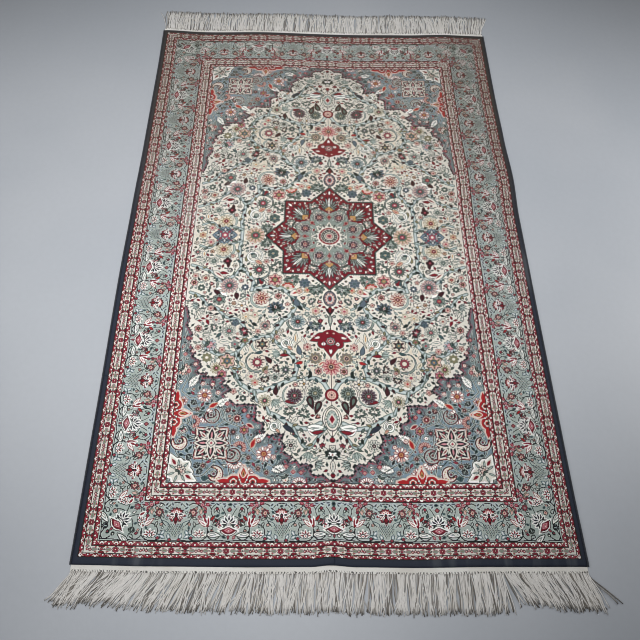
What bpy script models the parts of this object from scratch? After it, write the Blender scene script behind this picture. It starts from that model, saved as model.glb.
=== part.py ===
"""Hand-knotted silk rug, laid flat on a floor.

The rug is a pile body, an overcast selvedge along each side, and at each end a flat-woven strip
whose warps run on as a knotted fringe. Units are metres and +Z is up. X runs across the rug, and
-Y is the near end. The origin is the middle of the pile's flat underside.
"""

import math
import random

import bmesh
import bpy

# Driving dimensions
RUG_WIDTH = 1.220
PILE_LENGTH = 1.928
PILE_THICKNESS = 0.0050
SELVEDGE_WIDTH = 0.0045
SELVEDGE_HEIGHT = 0.0046
STRIP_WIDTH = 0.0150
STRIP_THICKNESS = 0.0018
SEAM_GAP = 0.0003

# Pile body
COLUMNS = 24
ROWS = 36
EDGE_ROUND = 0.0025
EDGE_WALL_SHARE = 0.6

# How far each edge strays outwards from its straight line, in millimetres:
# (place along the edge in metres, stray)
EDGE_STRAY_MM = {
    "left": ((-0.97, -1), (-0.60, 0), (-0.15, 3), (0.10, 1), (0.38, -2), (0.77, -3), (0.97, -1)),
    "right": ((-0.97, 3), (-0.75, 1), (-0.35, 1), (0.08, 2), (0.25, 8), (0.42, 3), (0.63, 1), (0.97, 3)),
    "near": ((-0.62, 2), (-0.40, 5), (-0.20, 6), (-0.05, 5), (0.0, 1), (0.06, 5), (0.20, 6), (0.38, 3), (0.62, 2)),
    "far": ((-0.62, 4), (-0.46, -3), (-0.23, 2), (0.10, -4), (0.30, 0), (0.46, 5), (0.62, 2)),
}

# Soft ridges where the rug doesn't lie quite flat. They rise towards the end that they start from:
# (place across the rug, end it rises towards, height, half width, reach from that end)
RIDGES = (
    (-0.440, -1, 0.0012, 0.060, 0.35),
    (-0.190, -1, 0.0020, 0.035, 0.30),
    (0.004, -1, 0.0026, 0.022, 0.26),
    (0.330, -1, 0.0014, 0.070, 0.40),
    (-0.560, 1, 0.0022, 0.060, 0.22),
    (-0.230, 1, 0.0016, 0.090, 0.25),
    (0.450, 1, 0.0024, 0.080, 0.30),
)

# Fringe
STRANDS = 120
ROOT_HALF_WIDTH = 0.0019
END_MARGIN = 0.0035
STRAND_SEED = 11
LEAN_JITTER = math.radians(1.4)
LENGTH_JITTER = 0.006
# (share of the strand's length, half width, height): out of the strip, the knot, and the combed lock
STRAND_SECTIONS = (
    (0.07, 0.0028, 0.0032),
    (0.20, 0.0022, 0.0026),
    (0.60, 0.0024, 0.0024),
    (1.00, 0.0016, 0.0014),
)
# (place across the rug, lean towards +X in degrees, strand length)
NEAR_FRINGE = (
    (-0.61, -20, 0.082),
    (-0.40, -13, 0.086),
    (-0.15, -5, 0.088),
    (0.10, -1, 0.088),
    (0.35, 3, 0.084),
    (0.55, 9, 0.080),
    (0.61, 13, 0.082),
)
FAR_FRINGE = (
    (-0.61, -3, 0.100),
    (-0.30, 1, 0.101),
    (0.10, 2, 0.102),
    (0.45, 3, 0.100),
    (0.61, 9, 0.098),
)
# The last strand at the near right corner strays outwards: its lean in degrees and its length
STRAY_LEAN = 44
STRAY_LENGTH = 0.092


def clear_scene():
    for obj in list(bpy.data.objects):
        bpy.data.objects.remove(obj)


def eased(table, at, column=1):
    """A smooth value between the rows of a table whose first column is the place."""
    if at <= table[0][0]:
        return table[0][column]
    for low, high in zip(table, table[1:]):
        if at <= high[0]:
            share = (at - low[0]) / (high[0] - low[0])
            share = share * share * (3 - 2 * share)
            return low[column] + (high[column] - low[column]) * share
    return table[-1][column]


def stray(side, at):
    return eased(EDGE_STRAY_MM[side], at) / 1000


def side_x(sign, y):
    """The pile's edge towards -X or +X."""
    side = "left" if sign < 0 else "right"
    return sign * (RUG_WIDTH / 2 - SELVEDGE_WIDTH - SEAM_GAP + stray(side, y))


def end_y(sign, x):
    """The pile's edge towards -Y or +Y."""
    side = "near" if sign < 0 else "far"
    return sign * (PILE_LENGTH / 2 + stray(side, x))


def pile_point(across, along):
    """A point of the pile's outline patch; across and along run from 0 to 1."""
    x = (across - 0.5) * RUG_WIDTH
    y = (along - 0.5) * PILE_LENGTH
    left, right = side_x(-1, y), side_x(1, y)
    near, far = end_y(-1, x), end_y(1, x)
    return left + across * (right - left), near + along * (far - near)


def inset_steps(count, length):
    """Grid places from 0 to 1, with the first and last kept back by the rounded rim."""
    inset = EDGE_ROUND / length
    return [inset + (1 - 2 * inset) * i / count for i in range(count + 1)]


def outline_steps(count, length):
    """The same places for the outline itself, which reaches 0 and 1."""
    return [0.0] + inset_steps(count, length)[1:-1] + [1.0]


def on_line(line, x):
    """The height in Y at x of a line of points that runs towards +X."""
    for low, high in zip(line, line[1:]):
        if x <= high[0]:
            break
    share = (x - low[0]) / (high[0] - low[0])
    return low[1] + (high[1] - low[1]) * share


def ridge_height(x, y):
    """How much the top rises above an even thickness."""
    rise = 0.0
    for place, end, height, half_width, reach in RIDGES:
        across = (x - place) / half_width
        inward = (PILE_LENGTH / 2 - end * y) / reach
        rise += height * math.exp(-across * across - inward * inward)
    return rise


def material(name, colour, roughness):
    made = bpy.data.materials.new(name)
    made.use_nodes = True
    shader = made.node_tree.nodes["Principled BSDF"]
    shader.inputs["Base Color"].default_value = (*colour, 1)
    shader.inputs["Roughness"].default_value = roughness
    shader.inputs["Metallic"].default_value = 0.0
    return made


def add_object(name, shape, finish):
    """Turns a bmesh into a named object with outward faces."""
    bmesh.ops.recalc_face_normals(shape, faces=shape.faces)
    mesh = bpy.data.meshes.new(name)
    shape.to_mesh(mesh)
    shape.free()
    mesh.materials.append(finish)
    made = bpy.data.objects.new(name, mesh)
    bpy.context.collection.objects.link(made)
    return made


def pile_body(finish):
    """The knotted pile: a flat underside, a short wall and a rounded rim below a softly rising top."""
    shape = bmesh.new()
    across = inset_steps(COLUMNS, RUG_WIDTH)
    along = inset_steps(ROWS, PILE_LENGTH)
    rim_across = outline_steps(COLUMNS, RUG_WIDTH)
    rim_along = outline_steps(ROWS, PILE_LENGTH)
    top = []
    for v in along:
        row = []
        for u in across:
            x, y = pile_point(u, v)
            row.append(shape.verts.new((x, y, PILE_THICKNESS + ridge_height(x, y))))
        top.append(row)
    for j in range(ROWS):
        for i in range(COLUMNS):
            shape.faces.new((top[j][i], top[j][i + 1], top[j + 1][i + 1], top[j + 1][i]))

    rim = [(i, 0) for i in range(COLUMNS)]
    rim += [(COLUMNS, j) for j in range(ROWS)]
    rim += [(i, ROWS) for i in range(COLUMNS, 0, -1)]
    rim += [(0, j) for j in range(ROWS, 0, -1)]
    wall, foot = [], []
    for i, j in rim:
        x, y = pile_point(rim_across[i], rim_along[j])
        rise = ridge_height(x, y)
        wall.append(shape.verts.new((x, y, (PILE_THICKNESS + rise) * EDGE_WALL_SHARE)))
        foot.append(shape.verts.new((x, y, 0.0)))
    count = len(rim)
    for k in range(count):
        n = (k + 1) % count
        here, after = top[rim[k][1]][rim[k][0]], top[rim[n][1]][rim[n][0]]
        shape.faces.new((wall[k], wall[n], after, here))
        shape.faces.new((foot[k], foot[n], wall[n], wall[k]))
    shape.faces.new(reversed(foot))
    return add_object("pile_body", shape, finish)


def selvedge(name, sign, finish):
    """The overcast cord along one side, flat where it lies on the floor."""
    profile = ((0.0, 0.0), (1.0, 0.0), (1.0, 0.55), (0.72, 1.0), (0.28, 1.0), (0.0, 0.55))
    shape = bmesh.new()
    rings = []
    for along in outline_steps(ROWS, PILE_LENGTH):
        x, y = pile_point(0.0 if sign < 0 else 1.0, along)
        inner = x + sign * SEAM_GAP
        height = SELVEDGE_HEIGHT + ridge_height(x, y)
        rings.append(
            [shape.verts.new((inner + sign * out * SELVEDGE_WIDTH, y, up * height)) for out, up in profile]
        )
    count = len(profile)
    for low, high in zip(rings, rings[1:]):
        for k in range(count):
            n = (k + 1) % count
            shape.faces.new((low[k], low[n], high[n], high[k]))
    shape.faces.new(rings[0])
    shape.faces.new(reversed(rings[-1]))
    return add_object(name, shape, finish)


def grow_strand(shape, root, sign, lean, length, bend):
    """Grows one lock out of the strip's outer wall. root is its four points there, lower pair first."""
    x = (root[0].co.x + root[1].co.x) / 2
    y = root[0].co.y
    before = root
    travelled = 0.0
    for share, half_width, height in STRAND_SECTIONS:
        angle = lean + bend * share
        step = (share - travelled) * length
        x += math.sin(angle) * step
        y += sign * math.cos(angle) * step
        travelled = share
        side = (math.cos(angle) * half_width, -sign * math.sin(angle) * half_width)
        ring = [
            shape.verts.new((x - side[0], y - side[1], 0.0)),
            shape.verts.new((x + side[0], y + side[1], 0.0)),
            shape.verts.new((x + side[0] * 0.7, y + side[1] * 0.7, height)),
            shape.verts.new((x - side[0] * 0.7, y - side[1] * 0.7, height)),
        ]
        for k in range(4):
            n = (k + 1) % 4
            shape.faces.new((before[k], before[n], ring[n], ring[k]))
        before = ring
    shape.faces.new(before)


def end_fringe(name, sign, table, finish):
    """The flat-woven strip at one end, with its strands growing out of its outer edge."""
    chance = random.Random(STRAND_SEED + sign)
    end = 0.0 if sign < 0 else 1.0
    line = [pile_point(across, end) for across in outline_steps(COLUMNS, RUG_WIDTH)]
    first, last = line[0][0], line[-1][0]
    pitch = (last - first - 2 * END_MARGIN) / (STRANDS - 1)
    centres = [first + END_MARGIN + pitch * i for i in range(STRANDS)]
    stations = [first]
    for x in centres:
        stations += [x - ROOT_HALF_WIDTH, x + ROOT_HALF_WIDTH]
    stations.append(last)

    shape = bmesh.new()
    rings = []
    for x in stations:
        inner = on_line(line, x) + sign * SEAM_GAP
        outer = inner + sign * STRIP_WIDTH
        rings.append(
            [
                shape.verts.new((x, inner, 0.0)),
                shape.verts.new((x, outer, 0.0)),
                shape.verts.new((x, outer, STRIP_THICKNESS)),
                shape.verts.new((x, inner, STRIP_THICKNESS)),
            ]
        )
    for index, (low, high) in enumerate(zip(rings, rings[1:])):
        shape.faces.new((low[0], low[1], high[1], high[0]))
        shape.faces.new((low[2], low[3], high[3], high[2]))
        shape.faces.new((low[3], low[0], high[0], high[3]))
        if index % 2 == 0:
            shape.faces.new((low[1], low[2], high[2], high[1]))
            continue
        x = centres[index // 2]
        lean = math.radians(eased(table, x)) + chance.uniform(-1, 1) * LEAN_JITTER
        length = eased(table, x, 2) + chance.uniform(-1, 1) * LENGTH_JITTER
        bend = chance.uniform(-1, 1) * LEAN_JITTER
        if sign < 0 and index // 2 == STRANDS - 1:
            lean, length, bend = math.radians(STRAY_LEAN), STRAY_LENGTH, math.radians(STRAY_LEAN) / 2
        grow_strand(shape, (low[1], high[1], high[2], low[2]), sign, lean, length, bend)
    shape.faces.new(rings[0])
    shape.faces.new(reversed(rings[-1]))
    return add_object(name, shape, finish)


def build():
    clear_scene()
    silk = material("silk_pile", (0.42, 0.43, 0.39), 0.55)
    overcast = material("selvedge_yarn", (0.030, 0.036, 0.055), 0.70)
    warp = material("warp_yarn", (0.60, 0.57, 0.49), 0.80)
    pile_body(silk)
    selvedge("selvedge_left", -1, overcast)
    selvedge("selvedge_right", 1, overcast)
    end_fringe("end_fringe_near", -1, NEAR_FRINGE, warp)
    end_fringe("end_fringe_far", 1, FAR_FRINGE, warp)


build()
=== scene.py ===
"""The looks of a hand-knotted silk rug: a star medallion on a flowered ivory field, inside a wide
floral border, with a flat-woven strip and a combed fringe at each end."""

from math import atan2, cos, degrees, pi, radians, sin, sqrt

import bpy
import numpy as np
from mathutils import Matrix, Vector


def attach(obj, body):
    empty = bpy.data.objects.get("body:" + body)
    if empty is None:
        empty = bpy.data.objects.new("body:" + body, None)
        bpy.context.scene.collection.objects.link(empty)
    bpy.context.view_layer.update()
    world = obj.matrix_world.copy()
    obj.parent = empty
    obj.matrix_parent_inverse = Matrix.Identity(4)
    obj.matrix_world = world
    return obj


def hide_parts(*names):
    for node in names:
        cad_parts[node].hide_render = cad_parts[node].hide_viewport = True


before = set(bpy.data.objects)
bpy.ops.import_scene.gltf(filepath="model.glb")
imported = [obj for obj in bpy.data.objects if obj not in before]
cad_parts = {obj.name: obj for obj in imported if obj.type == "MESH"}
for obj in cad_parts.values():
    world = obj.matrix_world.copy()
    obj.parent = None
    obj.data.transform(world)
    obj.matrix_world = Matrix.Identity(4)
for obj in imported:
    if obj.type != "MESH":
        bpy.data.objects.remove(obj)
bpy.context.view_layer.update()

# Yarns of the pile, and the colour of each on a 0 to 255 scale
(
    NAVY, IVORY, CREAM, BUFF, CELADON, SAGE, TEAL, SLATE, MAUVE, RED, SCARLET, PINK, BLUSH,
    ROSE, PEACH, GOLD, GREEN, MOSS, COAL, MAROON, STEEL, SKY, OLIVE, WHITE, FROST, BLEACHED, SMOKE,
    WINE,
) = range(28)
YARNS = {
    NAVY: (42, 48, 62),
    IVORY: (232, 228, 219),
    CREAM: (234, 228, 218),
    BUFF: (227, 217, 200),
    CELADON: (176, 188, 182),
    SAGE: (140, 152, 145),
    TEAL: (60, 86, 90),
    SLATE: (126, 148, 162),
    MAUVE: (112, 106, 116),
    RED: (130, 16, 34),
    SCARLET: (178, 30, 34),
    PINK: (206, 142, 150),
    BLUSH: (222, 184, 172),
    ROSE: (168, 62, 82),
    PEACH: (218, 176, 148),
    GOLD: (196, 150, 92),
    GREEN: (26, 36, 32),
    MOSS: (92, 108, 100),
    COAL: (14, 16, 20),
    MAROON: (60, 16, 24),
    STEEL: (92, 106, 118),
    SKY: (186, 200, 204),
    OLIVE: (138, 130, 96),
    WHITE: (255, 254, 250),
    FROST: (206, 214, 210),
    BLEACHED: (246, 242, 232),
    SMOKE: (112, 128, 130),
    WINE: (124, 10, 32),
}

# The rug's half width and half length in millimetres
HALF_WIDTH, HALF_LENGTH = 610, 964
# Its bands, from the edge inwards: name, how far from the edge it starts in millimetres, and its ground
BANDS = (
    ("edge", 0, NAVY),
    ("outer_stripe", 17, RED),
    ("outer_guard", 26.5, IVORY),
    ("second_stripe", 43.5, RED),
    ("main_border", 55, CELADON),
    ("third_stripe", 152, RED),
    ("inner_guard", 165, IVORY),
    ("inner_stripe", 184, RED),
    ("field", 197, IVORY),
)
BAND_AT = {name: start for name, start, _ in BANDS}
KNOTS_ACROSS, KNOTS_ALONG = 608, 960
SELVEDGE_MM = 4.8


def disc(r):
    return lambda u, v: r - np.hypot(u, v)


def oval(half_u, half_v):
    return lambda u, v: (1 - np.hypot(u / half_u, v / half_v)) * min(half_u, half_v)


def diamond(half_u, half_v):
    return lambda u, v: (1 - np.abs(u / half_u) - np.abs(v / half_v)) * min(half_u, half_v) * 0.8


def bloom(r, petals, notch=0.3, pointed=False, start=0):
    """A flower seen from the front. A petal points up v where start is 0."""

    def depth(u, v):
        turn = (np.arctan2(u, v) + start) * petals / 2
        wave = np.abs(np.sin(turn)) if pointed else 1 - np.abs(np.cos(turn))
        return r * (1 - notch * wave) - np.hypot(u, v)

    return depth


def leaf(length, width, bend=0, belly=0.8, teeth=0):
    """A pointed leaf that grows up v and bends to the right."""

    def depth(u, v):
        share = np.clip(v / length, 0, 1)
        half = width / 2 * np.sin(np.pi * share**belly)
        if teeth:
            half = half - teeth * np.abs((v / 4.4) % 1 - 0.5) * 2
        inside = half - np.abs(u - bend * share * share)
        return np.where((v > -1.5) & (v < length + 1.5), inside, -9)

    return depth


def drop(length, width, bend=0):
    """A drop that is round at its foot and drawn out to a tip that bends to the right."""

    def depth(u, v):
        share = np.clip(v / length, 0, 1)
        half = width * 0.86 * np.sqrt(share) * (1 - share) ** 0.9
        inside = half - np.abs(u - bend * share**2)
        return np.where((v > -1.5) & (v < length + 1.5), inside, -9)

    return depth


def crescent(r, bite, shift_u, shift_v):
    return lambda u, v: np.minimum(r - np.hypot(u, v), np.hypot(u - shift_u, v - shift_v) - bite)


def fan(r, petals, spread, notch=0.3):
    """Half a flower seen from the side, opening up v."""

    def depth(u, v):
        turn = np.arctan2(u, v)
        lobes = r * (1 - notch * (1 - np.abs(np.cos(turn * petals / spread * np.pi / 2))))
        rho = np.hypot(u, v)
        return np.minimum(lobes - rho, (spread - np.abs(turn)) * rho)

    return depth


def star_of_eight(reach):
    """Two squares across each other, whose points reach that far."""
    half = reach * sqrt(0.5)

    def depth(u, v):
        straight = half - np.maximum(np.abs(u), np.abs(v))
        turned = half - (np.abs(u) + np.abs(v)) * sqrt(0.5)
        return np.maximum(straight, turned)

    return depth


def joined(*parts):
    """Shapes in one outline. Each part is a shape, its place and its turn in degrees."""

    def depth(u, v):
        found = -99.0
        for shape, at_u, at_v, turn in parts:
            c, s = cos(radians(turn)), sin(radians(turn))
            du, dv = u - at_u, v - at_v
            found = np.maximum(found, shape(du * c + dv * s, dv * c - du * s))
        return found

    return depth


def toothed(shape, tooth, pitch):
    """A shape with saw teeth round its outline."""

    def depth(u, v):
        place = (np.abs(u) + np.abs(v) * 0.83) / pitch
        return shape(u, v) + tooth * (np.abs(place % 1 - 0.5) * 2 - 0.5)

    return depth


def smooth_path(points):
    """Points along a smooth curve through the given ones."""
    points = np.array(points, float)
    padded = np.vstack([2 * points[0] - points[1], points, 2 * points[-1] - points[-2]])
    out = []
    for a, b, c, d in zip(padded, padded[1:], padded[2:], padded[3:]):
        count = max(2, int(np.hypot(*(c - b))))
        t = (np.arange(count) / count)[:, None]
        curve = 2 * b + (c - a) * t + (2 * a - 5 * b + 4 * c - d) * t**2 + (3 * b - a - 3 * c + d) * t**3
        out.append(0.5 * curve)
    out.append(points[-1:])
    return np.vstack(out)


def curl(count, way):
    """Places round a centre. way gives the turn and the reach of each from its number."""
    ways = [way(i) for i in range(count)]
    return [(reach * sin(turn), reach * cos(turn)) for turn, reach in ways]


class Chart:
    """A quarter of the rug's knots. Places are in millimetres from the rug's centre."""

    def __init__(self):
        self.step_x = (HALF_WIDTH - SELVEDGE_MM) / KNOTS_ACROSS
        self.step_y = HALF_LENGTH / KNOTS_ALONG
        self.whole, self.x, self.y = self.patch(0, 0, 2 * HALF_LENGTH)
        self.rim = np.minimum(HALF_WIDTH - self.x, HALF_LENGTH - self.y)
        self.knots = np.zeros((KNOTS_ALONG, KNOTS_ACROSS), np.uint8)
        self.taken = np.zeros((KNOTS_ALONG, KNOTS_ACROSS), bool)
        self.chance = np.random.default_rng(7)
        self.halo = None
        self.outline = 0.0
        self.behind = False

    def patch(self, x, y, reach):
        """The knots within reach of a place, as a slice and their places."""
        left = max(0, int((x - reach) / self.step_x))
        right = max(left, min(KNOTS_ACROSS, int((x + reach) / self.step_x) + 2))
        low = max(0, int((y - reach) / self.step_y))
        high = max(low, min(KNOTS_ALONG, int((y + reach) / self.step_y) + 2))
        at_x = (np.arange(left, right) + 0.5) * self.step_x
        at_y = (np.arange(low, high) + 0.5) * self.step_y
        return (slice(low, high), slice(left, right)), *np.meshgrid(at_x, at_y)

    def paint(self, block, depth, rings, marks=True):
        """Rings are yarns, or pairs of the depth that one starts at and its yarn."""
        knots = self.knots[block]
        rings = [ring if isinstance(ring, tuple) else (0, ring) for ring in rings]
        if self.behind:
            depth = np.where(self.taken[block], -99, depth)
        if marks and len(rings) > 1:
            rings[0] = (rings[0][0] - self.outline, rings[0][1])
        if self.halo is not None and marks:
            knots[(depth > rings[0][0] - 1.3) & ~self.taken[block]] = self.halo
        for least, yarn in rings:
            knots[depth > least] = yarn
        if marks:
            self.taken[block] |= depth > rings[0][0] - 1.2

    def trace(self, points, width, *rings, marks=True):
        """Draws a band along a smooth curve. Its width is one number, or three: start, middle, end."""
        path = smooth_path(points)
        share = np.linspace(0, 1, len(path))
        half = np.interp(share, (0, 0.5, 1), width if isinstance(width, tuple) else (width,) * 3) / 2
        half = np.maximum(half, 0.9 + self.outline * 0.4)
        margin = half.max() + 3
        middle = (path.min(0) + path.max(0)) / 2
        reach = (path.max(0) - path.min(0)).max() / 2 + margin
        block, x, y = self.patch(*middle, reach)
        if not x.size:
            return
        depth = np.full(x.shape, -99.0)
        for (px, py), wide in zip(path, half):
            left = max(0, int((px - margin - x[0, 0]) / self.step_x))
            low = max(0, int((py - margin - y[0, 0]) / self.step_y))
            right = int((px + margin - x[0, 0]) / self.step_x) + 2
            high = int((py + margin - y[0, 0]) / self.step_y) + 2
            if right <= left or high <= low:
                continue
            part = (slice(low, high), slice(left, right))
            near = wide - np.hypot(x[part] - px, y[part] - py)
            depth[part] = np.maximum(depth[part], near)
        self.paint(block, depth, rings, marks)

    def between(self, start, end):
        """The knots that lie so far from the rug's edge."""
        return (self.rim >= start) & (self.rim <= end)

    def put_back(self, kept, where):
        self.knots[where] = kept[where]

    def spot(self, x, y, turn=0, size=1, mirror=1):
        return Spot(self, x, y, radians(turn), size, mirror)


class Spot:
    """A place that a motif is drawn round. u runs to its right and v up it, in millimetres."""

    def __init__(self, chart, x, y, turn, size, mirror):
        self.chart, self.x, self.y = chart, x, y
        self.turn, self.size, self.mirror = turn, size, mirror
        self.c, self.s = cos(turn), sin(turn)

    def place(self, u, v):
        u, v = u * self.size * self.mirror, v * self.size
        return self.x + u * self.c - v * self.s, self.y + u * self.s + v * self.c

    def at(self, u, v, turn=0, size=1, mirror=1):
        """A spot beside this one, turned anticlockwise."""
        x, y = self.place(u, v)
        turn = self.turn + radians(turn) * self.mirror
        return Spot(self.chart, x, y, turn, self.size * size, self.mirror * mirror)

    def dot(self, u, v, r, reach, *rings):
        self.at(u, v).lay(disc(r), reach, *rings)

    def leaf(self, u, v, turn, length, width, *rings):
        self.at(u, v, turn).lay(leaf(length, width), length + 4, *rings)

    def both(self):
        """This spot and its mirror image."""
        for side in (-1, 1):
            yield self.at(0, 0, mirror=side)

    def lay(self, shape, reach, *rings, marks=True):
        block, x, y = self.chart.patch(self.x, self.y, reach * self.size)
        if not x.size:
            return
        dx, dy = x - self.x, y - self.y
        u = (dx * self.c + dy * self.s) / self.size * self.mirror
        v = (dy * self.c - dx * self.s) / self.size
        self.chart.paint(block, shape(u, v) * self.size, rings, marks)

    def trace(self, points, width, *rings, marks=True):
        places = [self.place(u, v) for u, v in points]
        wide = tuple(w * self.size for w in width) if isinstance(width, tuple) else width * self.size
        self.chart.trace(places, wide, *rings, marks=marks)

    def round(self, count, r, start=0):
        """Spots in a ring round this one, each facing outwards."""
        for k in range(count):
            angle = 360 * k / count + start
            rad = radians(angle)
            yield self.at(-r * sin(rad), r * cos(rad), angle)


# Flowers and leaves. Their r is a radius in millimetres.


def wheel(spot, r, petals, edge, petal, ring, heart):
    """A full rosette with a ring of petals round a heart."""
    spot.lay(bloom(r, petals, 0.26), r + 3, (-1.2, edge), (0.5, petal))
    for tip in spot.round(petals, r * 0.64):
        tip.lay(oval(r * 0.06 + 0.6, r * 0.24), r, edge, marks=False)
    spot.lay(disc(r * 0.46), r, (-1, edge), (0.3, ring))
    spot.lay(bloom(r * 0.26, 6, 0.2), r, (-1, GREEN), (0.2, heart))
    spot.lay(disc(r * 0.07 + 0.3), r, CREAM)


def spiky(spot, r, petals, petal, inner, heart):
    """A rosette of dark pointed petals on a pale halo."""
    spot.lay(bloom(r, petals, 0.42, pointed=True), r + 2, petal)
    spot.lay(bloom(r * 0.62, petals, 0.3), r, inner)
    spot.lay(disc(r * 0.34), r, (-0.6, GREEN), (0.6, heart))
    spot.lay(disc(r * 0.12), r, CREAM)


def floret(spot, r, petal, heart, edge=GREEN, petals=5):
    spot.lay(bloom(r, petals, 0.32), r + 2, (-0.7, edge), (0.5, petal))
    if r > 6:
        for tip in spot.round(petals, r * 0.62):
            tip.lay(oval(0.9, r * 0.22), r, edge, marks=False)
    spot.lay(disc(r * 0.3), r, heart)


def open_flower(spot, r, petals=5):
    """White petals in a dark outline round a small heart."""
    for petal in spot.round(petals, r * 0.1):
        petal.lay(leaf(r, r * 0.62), r + 3, (-0.9, GREEN), (0.4, CREAM))
    spot.lay(disc(r * 0.2), r, (-0.6, GREEN), (0.5, GOLD))


def palmette(spot, r, outer, middle, heart, edge=GREEN):
    """A lotus seen from the side, opening up v, with a small calyx below."""
    spot.lay(fan(r, 7, 2), r + 2, (-1.2, edge), (0.3, outer))
    for vein in range(-3, 4):
        spot.at(0, r * 0.1, -vein * 31).lay(
            leaf(r * 0.86, r * 0.17 + 0.4), r, edge if vein % 2 else middle, marks=False
        )
    spot.lay(fan(r * 0.56, 5, 1.9), r, (-0.8, edge), (0.3, middle))
    spot.at(0, r * 0.08).lay(drop(r * 0.42, r * 0.3), r, (-0.4, CREAM), (0.5, heart))
    for half in spot.both():
        half.at(0, -r * 0.12, -118).lay(leaf(r * 0.62, r * 0.3, r * 0.2), r, (-0.6, edge), (0.5, MOSS))


def peony(spot, r, petal, shade, heart):
    """A round flower of curled petals."""
    spot.lay(bloom(r, 6, 0.26), r + 2, (-1.1, GREEN), (0.4, petal))
    for lip in spot.round(6, r * 0.56, 30):
        lip.lay(crescent(r * 0.34, r * 0.24, 0, r * 0.16), r, shade, marks=False)
    for lip in spot.round(6, r * 0.62):
        lip.lay(leaf(r * 0.3, r * 0.14), r, GREEN, marks=False)
    spot.lay(bloom(r * 0.4, 5, 0.25), r, (-0.5, GREEN), (0.6, heart))
    spot.lay(disc(r * 0.13), r, GOLD)


def bead(spot, r, yarn, edge=GREEN):
    spot.lay(disc(r), r + 2, (-0.8, edge), (0.3, yarn))


def blade(spot, length, width, yarn, edge=GREEN, bend=0, vein=None):
    spot.lay(leaf(length, width, bend), length + 3, (-0.9, edge), (0.35, yarn))
    if vein is not None:
        spot.at(0, length * 0.18).lay(leaf(length * 0.6, width * 0.26, bend * 0.5), length, vein, marks=False)


def paisley(spot, length, width, yarn, inside, edge=GREEN, bend=0):
    spot.lay(drop(length, width, bend), length + 3, (-0.9, edge), (0.5, yarn))
    spot.at(0, length * 0.14).lay(
        drop(length * 0.56, width * 0.55, bend * 0.4), length, (-0.3, edge), (0.5, inside), marks=False
    )


def tulip(spot, r, petal, inside):
    """A bud whose outer petals open round its tip."""
    spot.lay(oval(r * 0.5, r * 0.8), r + 2, (-0.7, GREEN), (0.4, inside))
    for half in spot.both():
        half.at(0, -r * 0.7, -24).lay(leaf(r * 1.5, r * 0.55, r * 0.3), r * 2, (-0.8, GREEN), (0.4, petal))
    spot.at(0, -r * 0.5).lay(leaf(r * 1.1, r * 0.4), r * 2, inside)


def acanthus(spot, yarn, edge, r):
    """A comb of curved leaves."""
    for k in (0, 4, 1, 3, 2):
        foot = spot.at(0, -r * 0.85, 48 - 24 * k)
        reach = r * (1.8 - abs(k - 2) * 0.16)
        blade(foot, reach, r * 0.44, yarn, edge, bend=r * 0.24)


def sprig(spot, yarn, edge, length, bud):
    """A stem with two pairs of leaves, and a bud at its tip."""
    spot.trace([(-1.5, -length / 2), (1.2, 0), (0, length / 2)], 1.2, GREEN)
    for k in range(2):
        base = spot.at(0, -length * 0.36 + k * length * 0.56 / 2)
        blade(base.at(0, 0, 46), length * 0.42, length * 0.2, yarn, edge)
        blade(base.at(0, 2, -46), length * 0.42, length * 0.2, yarn, edge)
    bead(spot.at(0, length * 0.36), length * 0.13, bud)


def tendril(spot, yarn, r, heart):
    """A thin curl with a bead at its end."""
    path = curl(13, lambda i: (i * 0.52, r * (1 - i / 15)))
    spot.trace(path, (1.8, 1.5, 1.1), yarn)
    bead(spot.at(*path[-1]), 1.8, heart)


def small(spot, yarn, edge, length=8.5, width=4.2):
    blade(spot.at(0, -length / 2), length, width, yarn, edge)


def lowered(spot, by, draw, *rest):
    draw(spot.at(0, -by), *rest)


# Bands of the border


def lay_grounds(chart):
    """The plain ground of each band, and the thin dark lines between them."""
    for _, start, ground in BANDS:
        chart.knots[chart.rim >= start] = ground
    for _, start, _ in BANDS[1:]:
        chart.knots[np.abs(chart.rim - start) < 0.9] = GREEN


def mitred(chart, start, end, draw):
    """Draws a band along the rug's end and along its side, and joins the two on the diagonal."""
    kept, drawn = chart.knots.copy(), []
    for on_side in (False, True):
        chart.knots[:] = kept
        draw(on_side)
        drawn.append(chart.knots.copy())
    by_side = HALF_WIDTH - chart.x < HALF_LENGTH - chart.y
    chart.knots[:] = np.where(by_side, drawn[1], drawn[0])
    chart.put_back(kept, ~chart.between(start + 0.9, end - 0.9))


def band_spots(chart, rim, pitch, on_side):
    """Equally spaced places along a band, from its middle to the corner. v points to the field."""
    length = (HALF_LENGTH if on_side else HALF_WIDTH) - rim
    count = max(1, round(length / pitch))
    for k in range(count + 2):
        along = k * length / count
        if on_side:
            yield k, chart.spot(HALF_WIDTH - rim, along, 90)
        else:
            yield k, chart.spot(along, HALF_LENGTH - rim, 180)


def red_stripe(chart, start, end, outwards):
    """White dots and crescents in turn on crimson, joined by a thin zigzag."""
    scale = (end - start) / 11.5
    way = -1 if outwards else 1

    def draw(on_side):
        for k, spot in band_spots(chart, (start + end) / 2, 16.6, on_side):
            spot = spot.at(0, 0, size=scale)
            for half in spot.both():
                rise = way if k % 2 else -way
                link = [(2.5, -2.6 * rise), (8.4, 2.8 * rise)]
                half.trace(link, 1.2, BLUSH if k % 2 else ROSE, marks=False)
                half.at(8.4, -4.2).lay(diamond(2.6, 1.8), 4, MAROON)
                half.at(8.4, 4).lay(diamond(3, 2), 4, IVORY)
            if k % 2:
                moon = crescent(4.2, 3.1, 0, -way * 1.9)
                spot.lay(moon, 6, (-0.6, MAROON), (-0.1, WHITE))
                spot.dot(0, -way * 2.4, 1.2, 3, ROSE)
            else:
                spot.dot(0, -way * 1.2, 2.1, 5, (-0.8, MAROON), (0, WHITE))

    mitred(chart, start, end, draw)


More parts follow.
